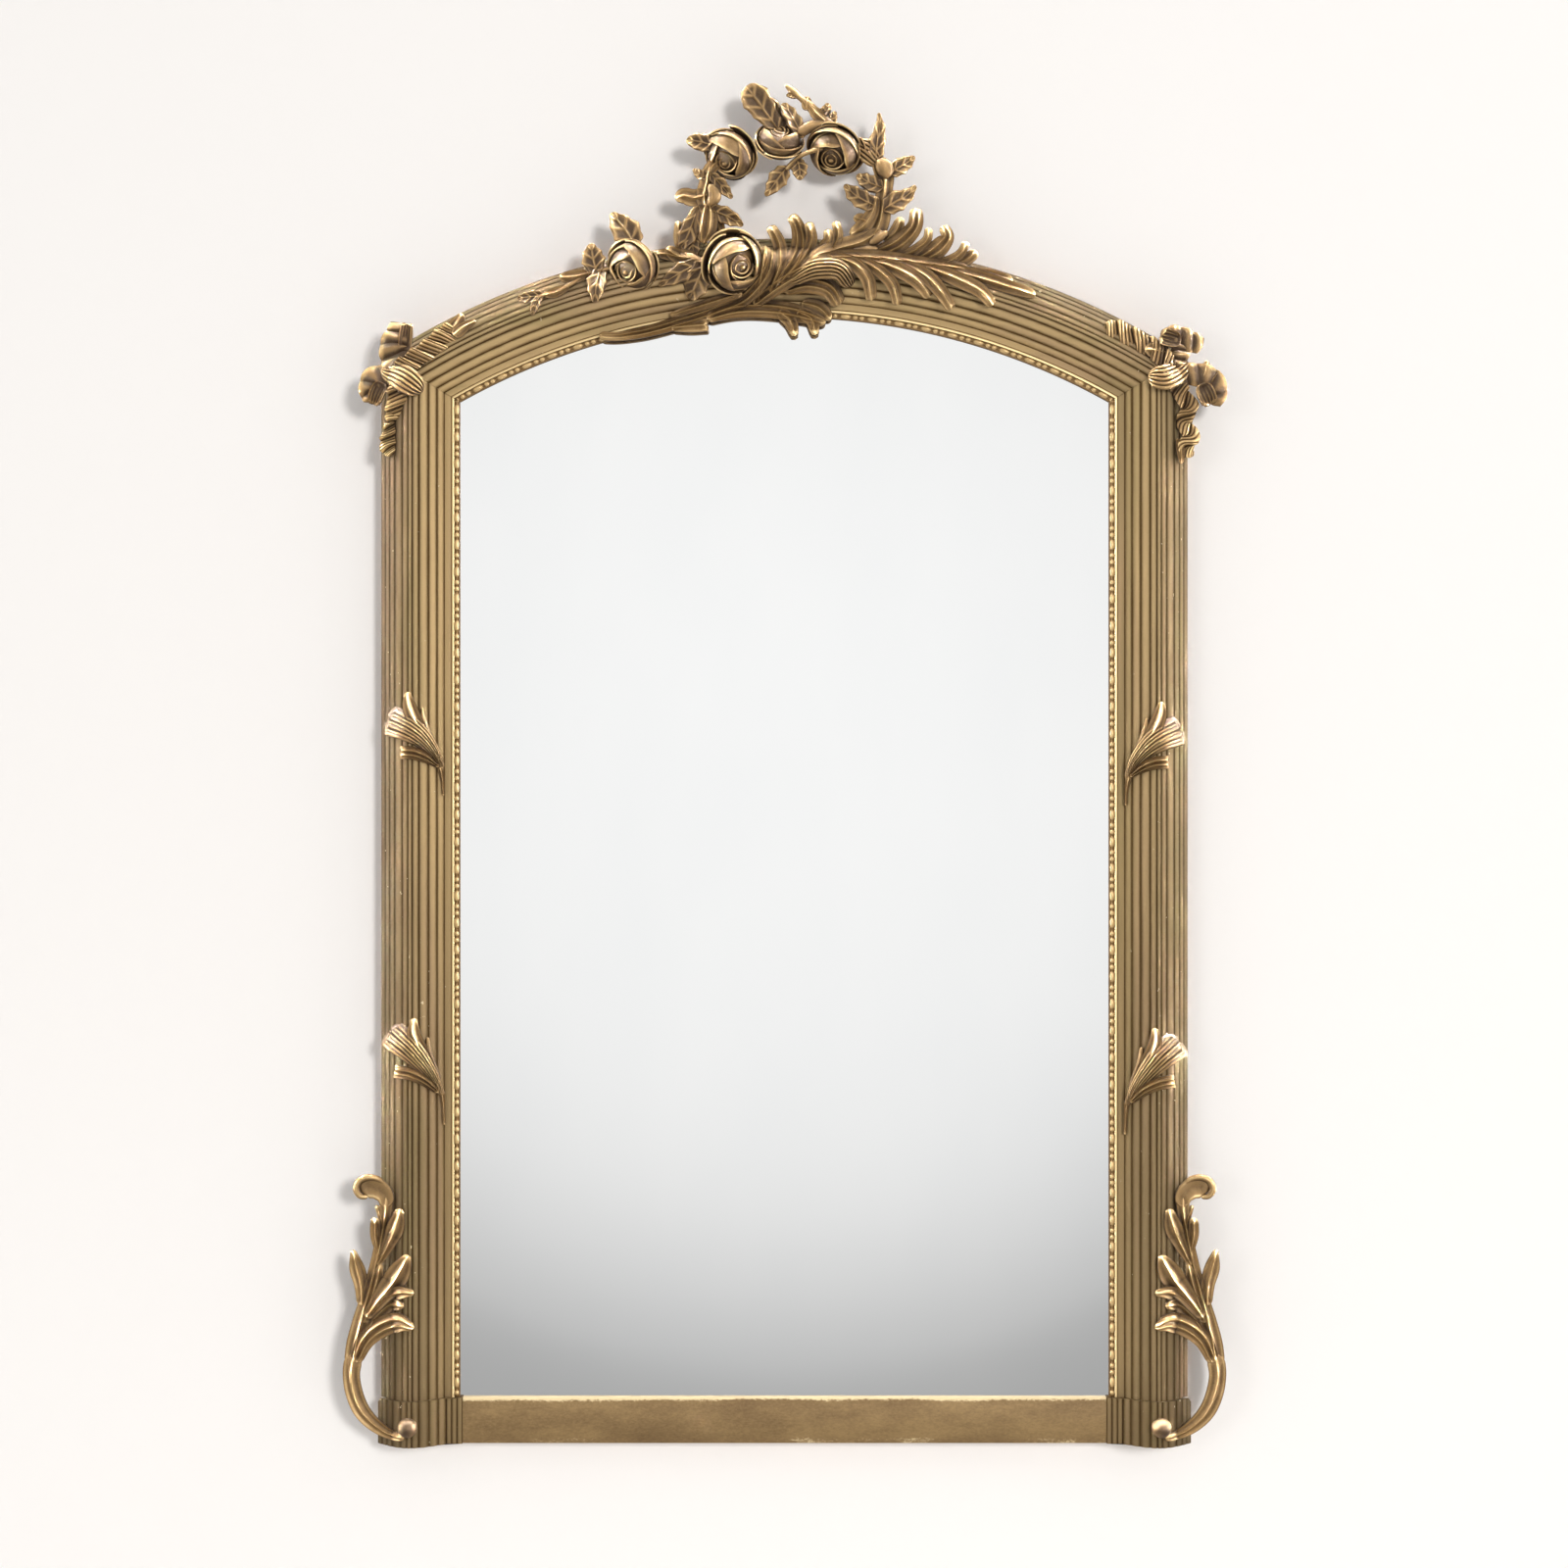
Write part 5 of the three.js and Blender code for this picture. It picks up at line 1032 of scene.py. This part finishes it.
def reed_line(samples=13):
    """The reeds from the outer edge inward: sine humps under the cushion's line, and their ridge values."""
    edges = MOULDING_WIDTH - np.concatenate([[0], np.cumsum(REED_WIDTHS[::-1])])
    share = np.linspace(0, 1, samples, endpoint=False)[None, :] + 0 * edges[:-1, None]
    out = edges[:-1, None] - share * REED_WIDTHS[::-1][:, None]
    bump = np.sin(np.pi * share) ** 0.75
    depth = cushion_depth(out) - REED_CUTS[::-1, None] * (1 - bump)
    return np.stack([out, depth], -1).reshape(-1, 2), bump.reshape(-1)


def moulding_section():
    """The moulding's section [out, depth]: reeds, fillet, strip seat and rebates, with its ridge values."""
    face, bump = reed_line()
    rest = np.array([
        [REEDS_AT, FILLET_DEPTH], [REEDS_AT - 1, FILLET_DEPTH + 0.4], [STRIP_WIDTH + 1, FILLET_DEPTH + 0.4],
        [STRIP_WIDTH, FILLET_DEPTH], [STRIP_WIDTH, LIP_DEPTH], [0, LIP_DEPTH], [0, REBATE_DEPTH],
        [REBATE_WIDTH, REBATE_DEPTH], [REBATE_WIDTH, BOARD_REBATE_DEPTH],
        [BOARD_REBATE_WIDTH, BOARD_REBATE_DEPTH], [BOARD_REBATE_WIDTH, 0.0],
    ])
    section = np.concatenate([[[MOULDING_WIDTH, 0]], face, rest])
    ridge = np.concatenate([[0.4], bump, [0.2, 0.9, 0.9, 0.3, 0.1], np.full(6, 0.3)])
    return section, ridge


def mitre_line(out):
    """Height of the mitre at a distance out from the sight edge."""
    return SIGHT_CORNER_Z + (CORNER_Z - SIGHT_CORNER_Z) * out / MOULDING_WIDTH


def mitre_height(out):
    """Height of a stile at the mitre, with its share of the gap."""
    return mitre_line(out) - STILE_GAP


def upright(section, ridge, side, bottom, top, stations=40):
    """A section [out, depth] carried up one side, from a bottom to a top that depends on out."""
    share = np.linspace(0, 1, stations)[:, None]
    z = bottom + share * (top(section[:, 0])[None, :] - bottom)
    x = side * (SIGHT_HALF_WIDTH + section[:, 0]) + 0 * z
    rings = np.stack([x, -section[:, 1] + 0 * z, z], -1)
    return capped(rings, ridge[None, :] + 0 * z)


def mitre_angle(out):
    """Half angle of the head at each distance out: where its circle meets the mitre's line."""
    run, rise = MOULDING_WIDTH, CORNER_Z - SIGHT_CORNER_Z
    radius = HEAD_SIGHT_RADIUS + out
    x0, z0 = SIGHT_HALF_WIDTH, SIGHT_CORNER_Z - HEAD_CENTRE_Z
    a, b, c = run**2 + rise**2, 2 * (run * x0 + rise * z0), x0**2 + z0**2 - radius**2
    share = (-b + np.sqrt(b * b - 4 * a * c)) / (2 * a)
    return np.arctan2(x0 + share * run, z0 + share * rise) - HEAD_GAP / radius


def headed(section, ridge, stations=120):
    """A section [out, depth] swept round the head's centre between the two mitres."""
    out, depth = section[:, 0][None, :], section[:, 1][None, :]
    angle = np.linspace(-1, 1, stations)[:, None] * mitre_angle(out)
    return capped(head_point(angle, HEAD_SIGHT_RADIUS + out, depth + 0 * angle), ridge[None, :] + 0 * angle)


def brace_hollow(side):
    """The seat of a corner brace, square across the mitre."""
    lean = math.atan2(CORNER_Z - SIGHT_CORNER_Z, MOULDING_WIDTH)
    middle = [side * (SIGHT_HALF_WIDTH + BRACE["out"]), -BRACE["thickness"] / 2, mitre_line(BRACE["out"])]
    half = np.array([BRACE["width"], BRACE["thickness"], BRACE["length"]]) / 2 + CLEARANCE
    across = [half[0] * math.cos(lean), 0, half[0] * side * math.sin(lean)]
    along = [-half[2] * side * math.sin(lean), 0, half[2] * math.cos(lean)]
    return block(middle, [across, [0, half[1], 0], along])


def hanger_hollow(side):
    """The recess that a strap plate and its ring lie in, open to the wall."""
    low = HANGER["height"] - RECESS["below"]
    high = HANGER["height"] + RECESS["above"]
    middle = [side * (SIGHT_HALF_WIDTH + HANGER["out"]), (1 - RECESS["depth"]) / 2, (low + high) / 2]
    half = [RECESS["width"] / 2, (1 + RECESS["depth"]) / 2, (high - low) / 2]
    return block(middle, np.diag(half))


SECTION, SECTION_RIDGE = moulding_section()
foot = RAIL_HEIGHT + CLEARANCE
for side, word in SIDES:
    blank = upright(SECTION, SECTION_RIDGE, side, foot, mitre_height)
    piece(f"stile_{word}_reeded", [blank], MOULDING_UPRIGHT, [f"stile_{word}"],
          hollows=[brace_hollow(side), hanger_hollow(side)], bare=(BARE_DEPTH, UPRIGHT_WOOD))
piece("arch_rail_reeded", [headed(SECTION, SECTION_RIDGE)], MOULDING_HEAD, ["arch_rail"],
      hollows=[brace_hollow(-1), brace_hollow(1)], bare=(BARE_DEPTH, WOOD))


def strip_base():
    """The section of the strip that carries the beads: a thin base with a square fillet at its outer edge."""
    back, flat = LIP_DEPTH + CLEARANCE, STRIP_WIDTH - CLEARANCE
    top = LIP_DEPTH + STRIP_RISE
    section = [[0, back], [flat, back], [flat, top - 0.5], [flat - 0.5, top], [7.9, top], [7.4, top - 0.5],
               [7.3, back + 1], [0, back + 1]]
    return np.array(section), np.array([0, 0, 0.5, 0.6, 1.3, 1.0, -0.3, -0.3])


BEAD_PERIOD, BEAD_STEP, BEAD_SIDES, NECK_RADIUS = 36.0, 1.45, 12, 1.5


def bead_radius(at):
    """Radius of the turned string: one long olive and two round beads in every period, with thin necks."""
    s = np.mod(at, BEAD_PERIOD)
    radius = 0 * s + NECK_RADIUS
    for centre, half, swell in ((9.2, 8.4, 3.3), (22.2, 4.1, 3.1), (31.0, 4.1, 3.1)):
        radius = np.maximum(radius, swell * np.sqrt(np.clip(1 - ((s - centre) / half) ** 2, 0, 1)))
    return radius


def string_of_beads(line, at, outward):
    """Circles of the turned radius about a line, one for each place along it."""
    radius = bead_radius(at)
    turn = np.linspace(0, 2 * np.pi, BEAD_SIDES, endpoint=False)[None, :, None]
    spokes = np.cos(turn) * outward[:, None] + np.sin(turn) * FRONT
    ridge = (radius - NECK_RADIUS) / 2.2
    return tube(line[:, None] + radius[:, None, None] * spokes, ridge[:, None] + np.zeros((1, BEAD_SIDES)))


BEAD_DEPTH = LIP_DEPTH + CLEARANCE + 1.4
base, base_ridge = strip_base()
for side, word in SIDES:
    top = float(mitre_height(BEADS_OUT))
    z = np.arange(foot + 0.5, top, BEAD_STEP)
    line = np.stack([0 * z + side * (SIGHT_HALF_WIDTH + BEADS_OUT), 0 * z - BEAD_DEPTH, z], -1)
    outward = np.tile([1.0, 0, 0], (len(z), 1))
    parts = [upright(base, base_ridge, side, foot, mitre_height, 4), string_of_beads(line, z, outward)]
    piece(f"bead_strip_{word}_turned", parts, BEADS, [f"bead_strip_{word}"])
reach = float(mitre_angle(BEADS_OUT))
angle = np.arange(-reach + 0.001, reach, BEAD_STEP / HEAD_SIGHT_RADIUS)
line = head_point(angle, HEAD_SIGHT_RADIUS + BEADS_OUT, np.full_like(angle, BEAD_DEPTH))
outward = np.stack([np.sin(angle), 0 * angle, np.cos(angle)], -1)
parts = [headed(base, base_ridge, 100), string_of_beads(line, angle * HEAD_SIGHT_RADIUS, outward)]
piece("bead_strip_arch_turned", parts, BEADS, ["bead_strip_arch"])


def rail_piece():
    """The rail's [depth, height] section, softly swelling with rounded arrises, carried across the frame."""
    share = np.linspace(0, 1, 25)
    swell = FILLET_DEPTH + RAIL_CROWN * np.sin(np.pi * share) - 1.6 * (np.abs(2 * share - 1) ** 18)
    face = np.stack([swell, RAIL_HEIGHT * share], -1)
    rest = [[REBATE_DEPTH, RAIL_HEIGHT], [REBATE_DEPTH, RAIL_HEIGHT - REBATE_WIDTH],
            [BOARD_REBATE_DEPTH, RAIL_HEIGHT - REBATE_WIDTH],
            [BOARD_REBATE_DEPTH, RAIL_HEIGHT - BOARD_REBATE_WIDTH], [0, RAIL_HEIGHT - BOARD_REBATE_WIDTH]]
    section = np.concatenate([[[0, 0]], face, rest])
    ridge = np.concatenate([[0], np.clip(2 * share - 1, -0.8, 1) ** 4, [1, 0, 0, 0, 0]])
    half = SIGHT_HALF_WIDTH - PLINTH_PROUD - CLEARANCE
    x = np.linspace(-half, half, 90)[:, None]
    depth = section[:, 0][None, :] + 0 * x
    rings = np.stack([x + 0 * depth, -depth, section[:, 1][None, :] + 0 * x], -1)
    return capped(rings, ridge[None, :] + 0 * x)


piece("bottom_rail_worn", [rail_piece()], RAIL, ["bottom_rail"], bare=(BARE_DEPTH, WOOD))


def plinth_piece(side):
    """The moulding's section moved out on every side, up to a top that is chamfered at the outer edge."""
    spread = lambda out: out + PLINTH_PROUD * ((2 * out) / MOULDING_WIDTH - 1)
    face, bump = reed_line()
    face = np.stack([spread(face[:, 0]), face[:, 1] + PLINTH_PROUD], -1)
    share = np.linspace(0, 1, 25)
    swell = np.abs(np.sin(3 * np.pi * share)) ** 0.5
    inner = spread(REEDS_AT) - share * (spread(REEDS_AT) + PLINTH_PROUD)
    inner = np.stack([inner, FILLET_DEPTH + PLINTH_PROUD - 2.2 * (1 - swell)], -1)
    section = np.concatenate([[[MOULDING_WIDTH + PLINTH_PROUD, 0]], face, inner, [[-PLINTH_PROUD, 0.0]]])
    ridge = np.concatenate([[0.3], bump * 0.9, swell * 0.9, [0.2]])
    limit = MOULDING_WIDTH + PLINTH_PROUD + RAIL_HEIGHT - PLINTH_CHAMFER
    return upright(section, ridge, side, 0.0, lambda out: np.minimum(RAIL_HEIGHT, limit - out), 12)


for side, word in SIDES:
    piece(f"plinth_{word}_reeded", [plinth_piece(side)], MOULDING_UPRIGHT, [f"plinth_{word}"],
          bare=(PLINTH_BARE_DEPTH, UPRIGHT_WOOD))

# ---- pieces kept as the solids have them

KEPT = {"mirror_plate": PLATE, "backboard": WOOD, "glazing_block": WOOD, "corner_brace": IRON, "hanger": BRASS}
for name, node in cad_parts.items():
    for key, material in KEPT.items():
        if name.startswith(key):
            node.data.materials.clear()
            node.data.materials.append(material)

# ---- room, light and camera


WALL_AT, FLOOR_AT, ROOM_HALF, ROOM_TOP = 0.012, -0.95, 5, 4.5
VIEW_FROM, VIEW_HALF = (-0.00065, -4.55, 0.8784), 1.04


def plain(name, colour):
    """A flat paint without shine."""
    f = Finish(name, roughness=0.9, Specular_IOR_Level=0.0)
    f.shader.inputs["Base Color"].default_value = (*colour, 1.0)
    return f


def sheet(name, corners, finish):
    mesh = bpy.data.meshes.new(name)
    mesh.from_pydata(corners, [], [(0, 1, 2, 3)])
    mesh.materials.append(finish.material)
    obj = placed(name, mesh)
    return obj


def wall_finish():
    """Wall paint that is clear from behind, so that the back of the frame can be seen."""
    f = plain("wall_paint", (0.95, 0.925, 0.9))
    paint, clear = Value(f, f.shader.outputs[0]), f.node("BsdfTransparent")
    choice = f.node("MixShader", {0: f.node("NewGeometry", output="Backfacing"), 1: paint, 2: clear})
    f.links.new(choice.socket, f.nodes["Material Output"].inputs[0])
    return f


low_left, low_right = (-ROOM_HALF, WALL_AT, FLOOR_AT), (ROOM_HALF, WALL_AT, FLOOR_AT)
high_left, high_right = (-ROOM_HALF, WALL_AT, ROOM_TOP), (ROOM_HALF, WALL_AT, ROOM_TOP)
wall = sheet("wall", [low_left, low_right, high_right, high_left], wall_finish())
wall.visible_shadow = False
ground = [(x * ROOM_HALF, y * ROOM_HALF, FLOOR_AT) for x, y in ((-1, -1), (1, -1), (1, 1), (-1, 1))]
sheet("floor", ground, plain("floor_paint", (0.86, 0.85, 0.84)))


def lamp(name, at, target, size, power, colour=(1, 1, 1)):
    data = bpy.data.lights.new(name, "AREA")
    data.shape, data.size, data.energy, data.color = "DISK", size, power, colour
    obj = placed(name, data)
    obj.location = at
    aim = np.array(target) - np.array(at)
    yaw, pitch = math.atan2(aim[0], -aim[1]), math.atan2(aim[2], math.hypot(aim[0], aim[1]))
    obj.rotation_euler = (math.pi / 2 + pitch, 0, math.pi + yaw)


lamp("key", (4.6, -13.0, 3.1), (0.0, 0.0, 0.9), 2.6, 860, (1.0, 0.985, 0.97))
lamp("side", (4.0, -2.6, 2.6), (0.0, 0.0, 0.9), 1.8, 5)
lamp("fill", (-5.0, -8.0, 1.6), (0.0, 0.0, 0.8), 2.4, 50)
lamp("back", (2.5, 7.0, 3.2), (0.0, 0.0, 0.9), 3.0, 420)

world = bpy.data.worlds.new("studio")
bpy.context.scene.world = world
world.use_nodes = True
WORLD_LIGHT = 0.48
GLOW = [
    (0.0, 0.99), (0.23, 0.955), (0.30, 0.93), (0.375, 0.865), (0.44, 0.745), (0.505, 0.58), (0.57, 0.425),
    (0.66, 0.4), (1.0, 0.55),
]


def light_the_world():
    """
    White to the camera, an even light on what is lit, and in the mirror a glow: bright straight ahead and
    darker with the slope of the ray, by the curve, over 0.4 to either side of a point a little above level.
    """
    sky = Tree(world.node_tree)
    axes = sky.node("SeparateXYZ", {0: sky.node("TexCoord", output="Generated")})
    outputs = axes.socket.node.outputs
    across, ahead, upward = (Value(sky, outputs[k]) for k in range(3))
    ahead = ahead.math("ABSOLUTE")
    across, upward = across / ahead, upward / ahead - 0.035
    spread = (across.math("POWER", 2.0) + upward.math("POWER", 2.0)).math("SQRT")
    glow = sky.node("FloatCurve", {1: spread * 2.5})
    curve = glow.socket.node.mapping
    points = curve.curves[0].points
    points[0].location, points[1].location = GLOW[0], GLOW[-1]
    for at, value in GLOW[1:-1]:
        points.new(at, value)
    curve.update()
    camera, through, glossy = (
        sky.node("LightPath", output=f"Is {kind} Ray") for kind in ("Camera", "Transmission", "Glossy")
    )
    seen = camera.math("MAXIMUM", through)
    lit = 1.0 - seen.math("MAXIMUM", glossy)
    background = sky.nodes["Background"].inputs
    sky.links.new((seen + glossy * glow + lit * WORLD_LIGHT).socket, background["Strength"])
    background["Color"].default_value = (1, 1, 1, 1)


light_the_world()

camera = placed("camera", bpy.data.cameras.new("camera"))
camera.location = VIEW_FROM
camera.rotation_euler = (math.pi / 2, 0, 0)
camera.data.sensor_width = 36
camera.data.lens = 18 * 4.5 / VIEW_HALF
bpy.context.scene.camera = camera
bpy.context.scene.view_settings.view_transform = "Standard"
